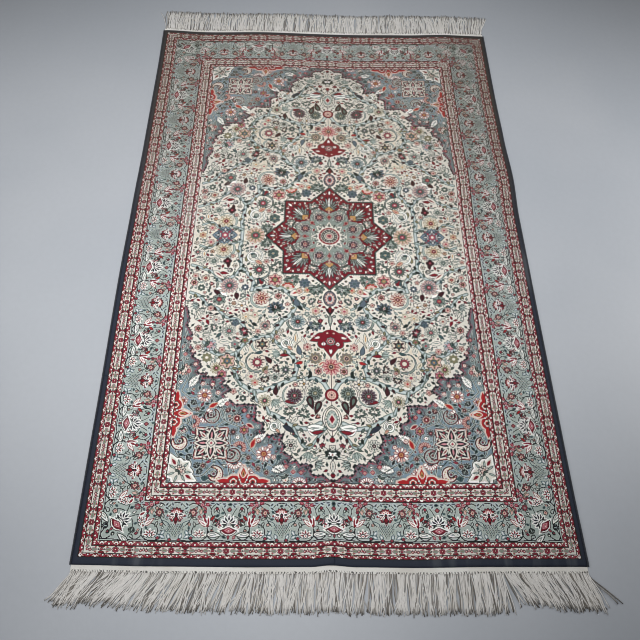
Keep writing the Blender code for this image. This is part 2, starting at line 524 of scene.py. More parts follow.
def cartouche(spot, half_band, with_rosette):
    """One panel of a guard band: sage leaves about a rosette, or about three small florets."""
    reach = 26.5
    panel = joined(
        (lambda u, v: np.minimum(half_band - 0.3 - np.abs(v), reach - 2 - np.abs(u)), 0, 0, 0),
        (disc(half_band - 2.6), -reach + 3.6, 0, 0),
        (disc(half_band - 2.6), reach - 3.6, 0, 0),
    )
    spot.lay(panel, reach + 8, (-0.5, GREEN), (0.3, CREAM), (1.6, IVORY))
    for half in spot.both():
        wing = half.at(9, 0, -90)
        wing.lay(leaf(15, 8), 18, (-0.7, ROSE), (0.2, SAGE))
        wing.leaf(0, 3, 0, 9, 2.6, OLIVE)
        half.leaf(21.5, 3.4, 30, 6, 2.6, OLIVE)
        half.leaf(21.5, -3.4, 150, 6, 2.6, OLIVE)
        half.at(25.5, 0).lay(diamond(2.4, 2.4), 4, GREEN)
        half.dot(18, -5.2, 1.5, 3, ROSE)
        half.dot(18, 5.2, 1.5, 3, ROSE)
    if with_rosette:
        spot.lay(bloom(7.2, 6, 0.24), 9, (-0.8, GREEN), (0.5, ROSE), (2.6, BLUSH))
        spot.lay(bloom(4.2, 6, 0.2), 6, (-0.4, GREEN), (0.5, RED))
        spot.lay(disc(1.2), 3, CREAM)
    else:
        for place in (-6.6, 0, 6.6):
            dot = spot.at(place, -1 if place else 0.6)
            dot.lay(disc(2.9), 4, (-0.7, GREEN), (0.3, ROSE), (1.6, CREAM))
            dot.leaf(0, 2.6, 0, 4.6, 2.4, MOSS)


def guard_band(chart, start, end):
    half_band = (end - start) / 2

    def draw(on_side):
        for k, spot in band_spots(chart, (start + end) / 2, 61, on_side):
            cartouche(spot, half_band, k % 2 == 0)
            for half in spot.both():
                gap = half.at(30.5, 0)
                for way in (-1, 1):
                    gap.at(0, way * (half_band + 0.5), 90 + way * 90).lay(
                        leaf(5.6, 11, belly=1), 9, (-0.6, GREEN), (0.3, RED)
                    )
                gap.lay(diamond(3, 3.4), 5, (-0.5, GREEN), (0.5, ROSE))

    mitred(chart, start, end, draw)


def crown(spot):
    """The border's large dark palmette on its crimson cup, between two pale lobes."""
    for half in spot.both():
        lobe = half.at(49, -31, 88)
        lobe.lay(drop(31, 17, -3), 34, (-1.1, GREEN), (0.6, WHITE), (3.4, SKY))
        lobe.at(0, 4).lay(drop(15, 7), 18, (-0.4, SAGE), (0.9, WHITE))
        hook = [(46, -25), (51, -17), (44, -11), (37, -15), (40, -20)]
        half.trace(hook, (2.4, 2, 1.2), GREEN)
        half.trace([(6, 9), (11, 21), (18, 32)], (1.4, 2, 1.4), COAL)
        half.trace([(11, 13), (21, 9), (29, 2)], 1.6, COAL)
    for turn in (0, 23, -23, 46, -46, 72, -72, 100, -100):
        petal = spot.at(0, -12, turn)
        petal.lay(leaf(29 - abs(turn) * 0.12, 6.2), 34, (-1.2, WHITE), (0.2, NAVY), (1.6, COAL))
    spot.at(0, -13).lay(oval(10.5, 6.5), 14, (-0.9, GREEN), (0.4, WHITE))
    for place in (-6, 0, 6):
        spot.at(place, -12).lay(crescent(3.2, 2.6, 0, -1.4), 5, MOSS)
    spot.at(0, -22).lay(diamond(23, 9.5), 26, (-1.2, WHITE), (0.2, MAROON), (1.4, RED))
    spot.at(0, -21).lay(diamond(8, 5), 10, (-0.6, PINK), (0.9, ROSE))
    spot.at(0, -22).lay(diamond(2.4, 2.4), 4, CREAM)
    smile = [(-17, -24), (-8, -30), (0, -32), (8, -30), (17, -24)]
    spot.trace(smile, (1.6, 3.6, 1.6), (-0.9, MAROON), (0.2, WHITE))
    spot.leaf(0, -33, 180, 9, 4.4, (-0.6, GREEN), (0.4, ROSE))


def red_fan(spot):
    """The border's red palmette, which opens towards the field over a point of lattice."""
    for turn, length in ((98, 21), (126, 17), (150, 15)):
        for half in spot.both():
            blade(half.at(0, 8, turn), length, 6, WHITE, RED, bend=2, vein=PINK)
    blade(spot.at(0, 6, 180), 19, 8, WHITE, RED, vein=ROSE)
    spot.at(0, 9).lay(fan(17, 7, 1.62, 0.22), 20, (-1.1, GREEN), (0.4, RED), (3.6, BLUSH), (4.6, SCARLET))
    spot.at(0, 9).lay(fan(9.5, 5, 1.62, 0.2), 14, (-1, WHITE), (0.4, SCARLET))
    for half in spot.both():
        blade(half.at(3, 9, -84), 15, 5, COAL, WHITE)
    spot.at(0, 8).lay(oval(4.2, 6.4), 8, (-0.9, WHITE), (0.4, COAL), (2.6, ROSE))
    spot.at(0, -2).lay(diamond(6, 7.5), 9, (-0.8, COAL), (0.8, RED))
    for row in range(8):
        most = 4 - abs(row - 3) if row > 3 else 4
        for col in range(-most, most + 1):
            mark = spot.at(col * 4.2 + (row % 2) * 2.1, -15 - row * 3.9)
            mark.lay(diamond(2, 1.9), 3, GREEN if (row + col) % 2 else TEAL, marks=False)
            mark.at(2.1, 0).lay(diamond(1, 0.9), 2, WHITE, marks=False)


def lotus(spot, r):
    """A lotus of white and rose petals with dark tips."""
    for turn in (-100, -62, -28, 28, 62, 100):
        spot.at(0, 0, turn).lay(
            leaf(r * 1.05, r * 0.48), r * 1.3, (-0.9, GREEN), (0.3, WHITE), (2.2, BLUSH)
        )
    for turn in (-80, -44, 0, 44, 80):
        petal = spot.at(0, 0, turn)
        petal.lay(leaf(r * 1.15, r * 0.34), r * 1.3, (-0.8, WHITE), (0.2, RED))
    spot.lay(disc(r * 0.34), r, (-0.9, GREEN), (0.4, WHITE))
    spot.lay(disc(r * 0.14), r, ROSE)


def between(spot, side, half_step):
    """What fills the border from a crown to the next fan, on one side of the crown."""
    scale = half_step / 127

    def at(u, v, turn=0):
        return spot.at(side * u * scale, v, side * turn)

    def vine(points, width=2.9, yarn=COAL):
        spot.trace([(side * u * scale, v) for u, v in points], width, yarn)

    vine([(0, -46), (26, -44), (52, -45), (90, -46), (127, -45)], 1.4)
    vine([(22, -38), (36, -44), (49, -34), (50, -17), (57, -8), (70, -6), (82, -12), (87, -24), (83, -36)])
    vine([(50, -17), (49, -32), (61, -44), (78, -46), (92, -41), (99, -30), (94, -22)])
    vine([(57, -8), (56, 8), (63, 24), (74, 38), (90, 42), (104, 31), (114, 22)])
    vine([(74, 38), (84, 30), (87, 20), (93, 2), (104, -12)], 1.4)
    vine([(29, 2), (40, 12), (44, 28), (34, 40), (18, 44)], 1.4)
    vine([(44, 28), (52, 40), (66, 46)], 1.4)
    vine([(104, 31), (116, 42), (127, 44)], 1.2)
    vine([(93, 2), (108, -4), (116, -16)], 1.2, TEAL)
    lotus(at(69, -34), 13)
    tulip(at(30, -3, -8), 9.5, PINK, RED)
    blade(at(25, -11, 150), 8, 4, RED, WHITE)
    blade(at(50, -16, 2), 27, 6.5, RED, WHITE)
    blade(at(53, -12, -52), 27, 8.5, WHITE, RED, vein=ROSE)
    blade(at(53, -6, -24), 20, 6, RED, WHITE)
    blade(at(44, 2, 40), 15, 5.5, SCARLET, GREEN)
    for u, v, turn in ((58, 38, 70), (66, 44, 20), (74, 42, -60), (62, 34, 150)):
        blade(at(u, v, turn), 11, 6.5, ROSE, RED, vein=PINK)
    floret(at(66, 39), 5.2, PINK, RED, MAROON, 6)
    blade(at(48, 38, 40), 11, 5, RED, MAROON)
    floret(at(87, 20), 10, ROSE, SAGE, GREEN, 8)
    floret(at(87, 20), 6, BLUSH, RED, GREEN, 8)
    blade(at(74, 22, 60), 16, 7, PEACH, MOSS, vein=OLIVE)
    blade(at(70, 16, 20), 13, 6, BLUSH, MOSS)
    floret(at(0, 28), 5, ROSE, OLIVE, GREEN, 4)
    for u, v, turn, length in ((7, 41, -86, 13), (24, 38, -60, 12), (36, 43, -95, 12), (14, 33, 40, 9)):
        blade(at(u, v, turn), length, 4.4, NAVY, SKY)
    for u, v, turn, length in ((100, 36, -40, 11), (108, 28, 60, 11), (118, 36, 20, 9), (112, 12, 100, 10)):
        blade(at(u, v, turn), length, 4.2, COAL, SKY)
    for u, v, turn in ((102, -22, 150), (111, -30, 200), (96, -34, 100), (104, -40, 60)):
        blade(at(u, v, turn), 15, 7, SKY, TEAL, vein=WHITE)
    for u, v, turn in ((36, 22, 20), (24, 20, -30), (38, -8, 60), (78, 4, -70), (98, 8, 30), (84, -2, 160)):
        blade(at(u, v, turn), 12, 5, SAGE, GREEN, vein=WHITE)
    for u, v in (
        (20, -8), (40, -22), (60, 12), (80, 30), (94, -8),
        (118, 2), (58, 22), (88, -40), (116, -44), (30, 30),
    ):
        floret(at(u, v), 3.6, BLUSH if (u + v) % 4 else ROSE, RED, GREEN, 5)


def main_border(chart):
    start, end = BAND_AT["main_border"], BAND_AT["third_stripe"]
    middle = (start + end) / 2
    chart.halo, chart.outline = FROST, 0.75

    def draw(on_side):
        length = (HALF_LENGTH if on_side else HALF_WIDTH) - middle
        step = length / (7 if on_side else 4)
        crowns = range(1, 8, 2) if on_side else range(0, 5, 2)
        chart.taken[:] = False
        if on_side:
            spots = [chart.spot(HALF_WIDTH - middle, k * step, 90) for k in range(8)]
        else:
            spots = [chart.spot(k * step, HALF_LENGTH - middle, 180) for k in range(5)]
        for k in crowns:
            for side in (-1, 1):
                between(spots[k], side, step)
        for k, spot in enumerate(spots):
            if k not in crowns:
                red_fan(spot.at(0, 6))
        for k in crowns:
            if k < len(spots) - 1:
                crown(spots[k])

    mitred(chart, start, end, draw)
    kept = chart.knots.copy()
    corner = chart.spot(HALF_WIDTH - middle - 5, HALF_LENGTH - middle - 5, 135)
    corner.lay(disc(42), 46, CELADON)
    crown(corner)
    for side in (-1, 1):
        lotus(corner.at(side * 30, 22, -side * 30), 11)
        blade(corner.at(side * 20, 30, -side * 10), 16, 6, RED, WHITE)
    floret(corner.at(0, 40), 8, ROSE, SAGE, GREEN, 8)
    chart.put_back(kept, ~chart.between(start + 0.9, end - 0.9))
    chart.halo, chart.outline = None, 0


def borders(chart):
    lay_grounds(chart)
    main_border(chart)
    for start, end, outwards in (
        ("outer_stripe", "outer_guard", True),
        ("second_stripe", "main_border", False),
        ("third_stripe", "inner_guard", True),
        ("inner_stripe", "field", False),
    ):
        red_stripe(chart, BAND_AT[start], BAND_AT[end], outwards)
    guard_band(chart, BAND_AT["outer_guard"], BAND_AT["second_stripe"])
    guard_band(chart, BAND_AT["inner_guard"], BAND_AT["inner_stripe"])


# Medallion and what hangs from it

STAR_REACH = 193


def star_point(spot):
    """What fills one point of the star. v runs outwards."""
    for half in spot.both():
        for along in (0.10, 0.30, 0.50, 0.70, 0.90):
            ring = half.at(56.5 * along - 5, 193 - 56.6 * along - 11)
            if along in (0.30, 0.70):
                ring.leaf(0, 0, -45, 10, 5.6, (-1.2, COAL), (0.1, CREAM))
                continue
            ring.lay(disc(4), 7, (-1.6, COAL), (0.1, CREAM))
            ring.lay(disc(2.2), 4, MAROON)
        for u, v in ((9, 172), (20, 160), (32, 147), (8, 153), (44, 133), (38, 124)):
            half.dot(u, v, 1.7, 3, BLUSH if u % 2 else MAROON)
        hook = half.at(27, 100, -50)
        hook.lay(drop(23, 13, 4), 26, (-0.9, COAL), (0.3, CREAM), (2.6, MOSS))
        half.leaf(17, 93, -20, 10, 5, (-0.6, COAL), (0.3, BLUSH))
        half.leaf(36, 118, -60, 12, 6, (-0.6, COAL), (0.4, SAGE))
    for turn, length in ((98, 17), (76, 24), (54, 30), (34, 35), (15, 39)):
        for half in spot.both():
            petal = half.at(0, 110, turn)
            yarn = SAGE if turn in (76, 34) else CELADON
            petal.lay(leaf(length * 1.15, 7.4), 50, (-1.3, COAL), (0.5, yarn))
            petal.at(0, 6).lay(leaf(length * 0.66, 2.4), 40, GREEN)
    spot.leaf(0, 112, 0, 45, 8, (-0.9, COAL), (0.4, WHITE), (2.4, SAGE))
    spot.at(0, 104).lay(fan(12, 3, 2.2), 14, (-0.9, COAL), (0.2, GOLD))
    spot.dot(0, 100, 4.6, 6, (-0.6, MAROON), (0.2, PEACH))
    spot.leaf(0, 165, 0, 17, 7, (-0.7, COAL), (0.2, WHITE))
    spot.leaf(0, 86, 0, 11, 6, (-0.6, COAL), (0.2, BLUSH))


def star_notch(spot):
    """The grey-green palmette behind each notch of the star. v runs outwards."""
    palmette(spot.at(0, 124), 16, SAGE, CREAM, RED, COAL)
    for half in spot.both():
        half.dot(11, 112, 2.6, 4, (-0.6, COAL), WHITE)
        half.leaf(17, 126, -60, 9, 4.4, (-0.5, COAL), (0.3, CREAM))


def rosette_petal(reach):
    """Eight pointed petals, whose tips lie between the star's points."""

    def depth(u, v):
        off = np.abs((np.arctan2(u, v) / radians(45)) % 1 - 0.5)
        r = reach * (0.745 + 0.255 * (1 - off * 2) ** 0.75)
        return r - np.hypot(u, v)

    return depth


# Small things between the motifs: the room that each takes, its motif and what the motif takes
ON_SAGE = (
    (3.6, small, CREAM, MOSS, 8.4, 3.8),
    (3.6, small, MAUVE, GREEN, 8.4, 3.8),
    (3, bead, 1.9, RED, MOSS),
)
ON_RED = (
    (3.2, small, CREAM, COAL, 9, 4),
    (2.8, bead, 2, BLUSH, COAL),
    (3, small, GREEN, COAL, 9, 4.2),
    (3.2, small, SAGE, COAL, 9, 4.2),
)


def medallion(chart):
    centre = chart.spot(0, 0)
    outline = toothed(star_of_eight(STAR_REACH), 3, 7)
    centre.lay(star_of_eight(STAR_REACH + 7), STAR_REACH + 12, BLEACHED)
    centre.lay(outline, STAR_REACH + 10, (-4.4, MOSS), (-2.4, COAL), (0.8, WINE))
    star = outline(chart.x, chart.y) > 3
    chart.taken[star] = False
    for spot in centre.round(8, 0):
        star_point(spot)
    for spot in centre.round(8, 0, 22.5):
        star_notch(spot)
    petals = rosette_petal(0.565 * STAR_REACH)
    centre.lay(petals, STAR_REACH, (-3.8, COAL), (-2.6, CELADON), (-0.6, GREEN), (0.6, SAGE))
    centre.lay(lambda u, v: 1.1 - np.abs(petals(u, v) - 4.4), STAR_REACH, CELADON)
    for spot in centre.round(8, 0.41 * STAR_REACH, 22.5):
        for side in (-1, 0, 1):
            tip = spot.at(side * 8, 16 - abs(side) * 3, -side * 24)
            tip.lay(leaf(12, 5), 14, (-0.5, GREEN), (0.4, CREAM))
        spot.lay(bloom(17.5, 8, 0.18), 19, (-1.4, GREEN), (0.3, CREAM), (1.8, MAUVE), (5.6, ROSE))
        for dot in spot.round(8, 12):
            dot.lay(oval(1.9, 3.8), 5, COAL)
        spot.lay(disc(7), 9, (-1.6, COAL), (0.2, BLUSH), (1.8, RED))
        spot.lay(disc(1.8), 4, CREAM)
        for half in spot.both():
            half.dot(13, -13, 2.6, 4, (-0.5, GREEN), (0.2, RED))
            half.leaf(17, 6, -40, 9, 4, MOSS)
    for spot in centre.round(8, 0.385 * STAR_REACH):
        spot.lay(diamond(7.4, 9.6), 11, (-1.2, COAL), (-0.2, BLUSH), (1.2, RED))
        spot.dot(0, -10, 2, 4, ROSE)
    for spot in centre.round(16, 0.3 * STAR_REACH, 11.25):
        spot.lay(leaf(15, 6.5), 18, (-0.8, MOSS), (0.4, CELADON))
    centre.lay(bloom(0.30 * STAR_REACH, 8, 0.36, pointed=True), 70, (-1.4, MOSS), (0.4, IVORY))
    turned = bloom(0.245 * STAR_REACH, 8, 0.2, pointed=True, start=pi / 8)
    centre.lay(turned, 60, (-1.4, MOSS), (0.4, IVORY))
    for spot in centre.round(16, 0.185 * STAR_REACH):
        spot.lay(leaf(13, 5), 16, GREEN, (1.6, SAGE))
    centre.lay(disc(0.165 * STAR_REACH), 40, (-0.9, CREAM), RED)
    centre.lay(disc(0.128 * STAR_REACH), 40, (-0.8, CREAM), (0.2, GREEN))
    for spot in centre.round(16, 0.145 * STAR_REACH):
        spot.lay(disc(1.5), 3, BLUSH)
    for spot in centre.round(16, 0.104 * STAR_REACH):
        spot.lay(disc(1.7), 3, CREAM)
    centre.lay(disc(0.078 * STAR_REACH), 20, CREAM)
    centre.lay(disc(0.06 * STAR_REACH), 20, (-0.2, MOSS), (1.6, BLUSH))
    centre.lay(bloom(7, 6, 0.3), 10, ROSE)
    centre.lay(disc(2.6), 4, GREEN)
    rosette = petals(chart.x, chart.y) > 3
    chart.taken[rosette] = np.isin(chart.knots[rosette], (SAGE, CELADON), invert=True)
    fill_gaps(chart, rosette, ON_SAGE, 9000, 0)
    fill_gaps(chart, star & ~rosette, ON_RED, 9000, 0.1)


def pendant(spot):
    """The crimson pendant. v runs outwards to its tip."""
    shape = joined(
        (leaf(88, 62, belly=0.62), 0, -38, 0),
        (leaf(52, 26, 6), -8, -20, 78),
        (leaf(52, 26, -6), 8, -20, -78),
        (disc(15), -21, 6, 0),
        (disc(15), 21, 6, 0),
    )
    spot.lay(shape, 66, (-3.4, CREAM), (-1.8, MOSS), WINE)
    spot.lay(bloom(13, 8, 0.16), 16, (-0.6, GREEN), (0.4, SAGE), (3.2, ROSE))
    spot.lay(disc(4.4), 6, (-0.6, CREAM), (0.4, MAROON))
    spot.at(0, 24).lay(drop(16, 13), 20, (-0.5, MAROON), (0.2, WHITE))
    spot.dot(0, 26, 2, 4, ROSE)
    for half in spot.both():
        half.at(30, -14, -80).lay(drop(16, 11), 20, (-0.5, MAROON), (0.2, CREAM))
        floret(half.at(20, 8), 6.6, WHITE, ROSE, MAROON, 4)
        half.dot(46, -18, 2.6, 4, PINK)
        half.dot(9, -26, 3, 5, (-0.4, MAROON), (0.2, BLUSH))
    spot.leaf(0, -38, 180, 9, 4, MAROON)


def on_the_axis(chart):
    """What lies on the long axis, from the star's point to the field's end."""
    at = chart.spot
    chart.trace([(0, 196), (0, 330)], 2, GREEN)
    chart.trace([(0, 410), (0, 660)], 2.4, MAROON)
    spot = at(0, 227)
    spot.lay(oval(18, 25), 30, (-1, GREEN), (0.4, MAUVE), (4.5, BLUSH))
    for dot in spot.round(10, 15):
        dot.lay(oval(1.3, 4), 6, GREEN)
    spot.lay(oval(8, 12), 16, (-0.8, CREAM), (0.4, MAUVE), (3.6, RED))
    tulip(at(0, 268, 180), 14, MAROON, RED)
    blade(at(0, 282), 38, 11, SAGE, vein=CREAM)
    pendant(at(0, 368))
    wheel(at(0, 447), 24, 12, ROSE, BLUSH, PEACH, RED)
    spiky(at(0, 447), 15, 8, RED, PEACH, MAROON)
    at(0, 531).lay(disc(17), 20, (-1, MAROON), (0.4, RED), (4.6, BLUSH))
    for dot in at(0, 531).round(8, 8):
        dot.lay(disc(1.6), 4, OLIVE)
    at(0, 531).lay(disc(3), 5, MAROON)
    spot = at(0, 600)
    spot.lay(oval(18, 31), 36, (-1.2, GREEN), CREAM, (3.4, MOSS), (4.6, CELADON))
    for dot in spot.round(12, 0):
        dot.leaf(0, 12, 0, 9, 3, MOSS)
    spot.lay(diamond(8, 13), 18, (-1.4, CREAM), (0.4, ROSE), (2, RED))
    for side in (-1, 1):
        chart.trace([(0, 560), (side * 20, 578), (side * 24, 606), (side * 8, 640), (0, 650)], 1.6, GREEN)
    bead(at(0, 657), 6.5, RED)
    spot = at(0, 704)
    for turn in (-120, -78, 78, 120):
        blade(spot.at(0, -4, turn), 36, 12, CREAM, bend=10 if turn < 0 else -10, vein=SAGE)
    palmette(at(0, 692), 19, GREEN, WHITE, RED)
    blade(at(0, 712), 34, 12, CREAM, vein=SAGE)
    for side in (-1, 1):
        blade(at(side * 7, 672, side * 40), 20, 9, CREAM, vein=MOSS)


# Field of vines

# Broad bands of the vines, as places that their smooth curves pass, and their widths
RIBBONS = (
    (((227, 200), (188, 188), (145, 191), (111, 217), (99, 243), (110, 277), (136, 302), (154, 316)), 6),
    (((227, 200), (223, 171), (240, 142), (259, 120), (265, 86), (270, 56), (266, 22), (266, 0)), 5),
    (((136, 302), (165, 346), (206, 358), (242, 376)), 5.4),
    (((138, 385), (109, 409), (94, 442), (99, 476), (80, 486), (55, 478), (26, 490), (10, 514)), 5.6),
    (((99, 480), (133, 495), (163, 509), (207, 519), (243, 500)), 5.8),
    (((165, 581), (143, 590), (109, 614), (66, 624), (30, 610)), 5.8),
    (((16, 624), (40, 652), (60, 676), (76, 668), (92, 640), (100, 622)), 3.4),
    (((405, 112), (372, 124), (340, 140), (318, 168), (282, 150), (262, 122)), 4.6),
    (((402, 208), (372, 222), (352, 250), (322, 262), (296, 290), (262, 300), (240, 330), (242, 376)), 4.4),
    (((266, 22), (300, 34), (334, 28), (360, 48), (388, 40)), 3.4),
    (((242, 376), (262, 404), (296, 414), (330, 400), (352, 372)), 4.6),
    (((243, 500), (262, 470), (250, 440), (262, 404)), 4.2),
    (((300, 440), (270, 452), (243, 500)), 3.6),
    (((165, 346), (150, 372), (138, 385)), 4.2),
    (((61, 262), (80, 250), (100, 226), (120, 212)), 3.2),
    (((207, 519), (200, 545), (176, 560), (165, 581)), 3.6),
)

# Pale leaves with a vein that sit among the vines: x, y, turn, length, width, bend, yarn, vein
PALE_LEAVES = (
    (116, 214, 118, 46, 24, 10, CREAM, SCARLET),
    (152, 246, -60, 30, 16, 6, BLUSH, RED),
    (342, 134, 60, 44, 17, 8, CREAM, RED),
    (36, 446, 140, 28, 14, 4, BUFF, SCARLET),
    (96, 372, 190, 34, 12, 6, BUFF, GOLD),
    (80, 352, 20, 24, 10, -5, CREAM, OLIVE),
    (186, 462, 150, 24, 12, 3, OLIVE, GREEN),
    (64, 618, 74, 44, 19, -9, WHITE, SAGE),
    (40, 640, 250, 30, 15, 8, WHITE, RED),
    (330, 196, 70, 40, 28, 12, WHITE, BLUSH),
    (375, 60, 10, 26, 12, 6, CREAM, GOLD),
    (300, 196, -60, 22, 10, 4, CREAM, MOSS),
    (250, 430, 30, 26, 13, -5, BUFF, OLIVE),
    (230, 404, -150, 24, 12, 5, CREAM, MOSS),
    (310, 372, 100, 30, 14, 6, CREAM, SAGE),
    (128, 560, 60, 26, 12, 5, CREAM, PINK),
    (150, 520, 160, 22, 10, -4, CREAM, SAGE),
    (92, 590, -30, 24, 11, 4, CREAM, MOSS),
)

# Dark and red leaves: x, y, turn, length, width, bend, yarn
STRONG_LEAVES = (
    (100, 228, 12, 34, 15, -7, STEEL),
    (93, 252, 60, 20, 9, 4, GREEN),
    (214, 244, 110, 28, 12, 5, GREEN),
    (272, 208, 20, 24, 13, 4, MAROON),
    (141, 412, 105, 26, 9, 6, RED),
    (165, 436, 200, 26, 13, -8, MAROON),
    (82, 408, 215, 30, 13, 9, STEEL),
    (78, 430, 300, 20, 9, 5, SCARLET),
    (148, 530, 195, 28, 12, 7, MAROON),
    (124, 548, 95, 30, 10, 9, RED),
    (128, 616, 65, 36, 12, 5, NAVY),
    (52, 634, 80, 30, 10, -8, RED),
    (322, 140, 95, 24, 9, 4, RED),
    (336, 200, 60, 36, 12, 12, MAROON),
    (236, 62, 30, 24, 9, -6, TEAL),
    (246, 98, 200, 20, 8, 5, OLIVE),
    (178, 300, 20, 22, 9, 5, ROSE),
    (300, 120, 180, 20, 8, 4, MAROON),
    (350, 300, 40, 18, 8, 4, RED),
    (306, 342, -30, 20, 8, 4, TEAL),
    (222, 310, 70, 18, 8, 3, GREEN),
    (66, 330, 150, 18, 7, 4, GREEN),
    (36, 396, 150, 20, 7, -5, OLIVE),
    (60, 458, 30, 18, 8, 4, GREEN),
    (190, 400, -60, 20, 8, 5, TEAL),
)

def quatrefoil(spot, r):
    """The blue flower of four pointed petals on the rug's cross axis."""
    for petal in spot.round(4, r * 0.2):
        petal.lay(leaf(r * 0.86, r * 0.86), r * 1.2, (-0.8, GREEN), (0.4, STEEL), (4, SLATE))
    for petal in spot.round(4, r * 0.2, 45):
        petal.lay(leaf(r * 0.7, r * 0.5), r * 1.2, (-0.8, GREEN), (0.4, STEEL))
        petal.dot(0, r * 0.6, 2.4, 4, ROSE)
    spot.lay(bloom(r * 0.42, 6, 0.2), r, (-1, CREAM), (0.4, STEEL), (4, ROSE))
    spot.lay(disc(r * 0.13), r, CREAM)
    for petal in spot.round(4, r * 0.4):
        petal.lay(leaf(r * 0.42, r * 0.26), r, (-0.9, NAVY), (0.5, MAUVE), (2.2, FROST))
    for petal in spot.round(4, r * 0.36, 45):
        petal.lay(leaf(r * 0.3, r * 0.16), r, (-0.7, NAVY), (0.4, ROSE))


def spiral(spot, r):
    """A white tendril that curls round a small sage disc, with a striped leaf outside."""
    path = curl(25, lambda i: (radians(200 + 20 * i), r * (1 - 0.68 * i / 24)))
    spot.trace(path, (2, 5.2, 3.4), (-0.9, MOSS), (0.3, WHITE))
    spot.lay(disc(r * 0.24), r, (-0.7, GREEN), (0.4, SAGE))
    blade(spot.at(-r * 0.2, r * 0.62, 70), r * 0.9, r * 0.5, PEACH, bend=5, vein=ROSE)


def half_flower(spot, r, petal, inside):
    spot.lay(fan(r, 5, 1.4, 0.22), r + 2, (-0.9, OLIVE), (0.4, petal))
    spot.lay(fan(r * 0.66, 4, 1.3, 0.2), r, (-0.4, CREAM), (0.5, inside))
    spot.lay(disc(r * 0.24), r, OLIVE)


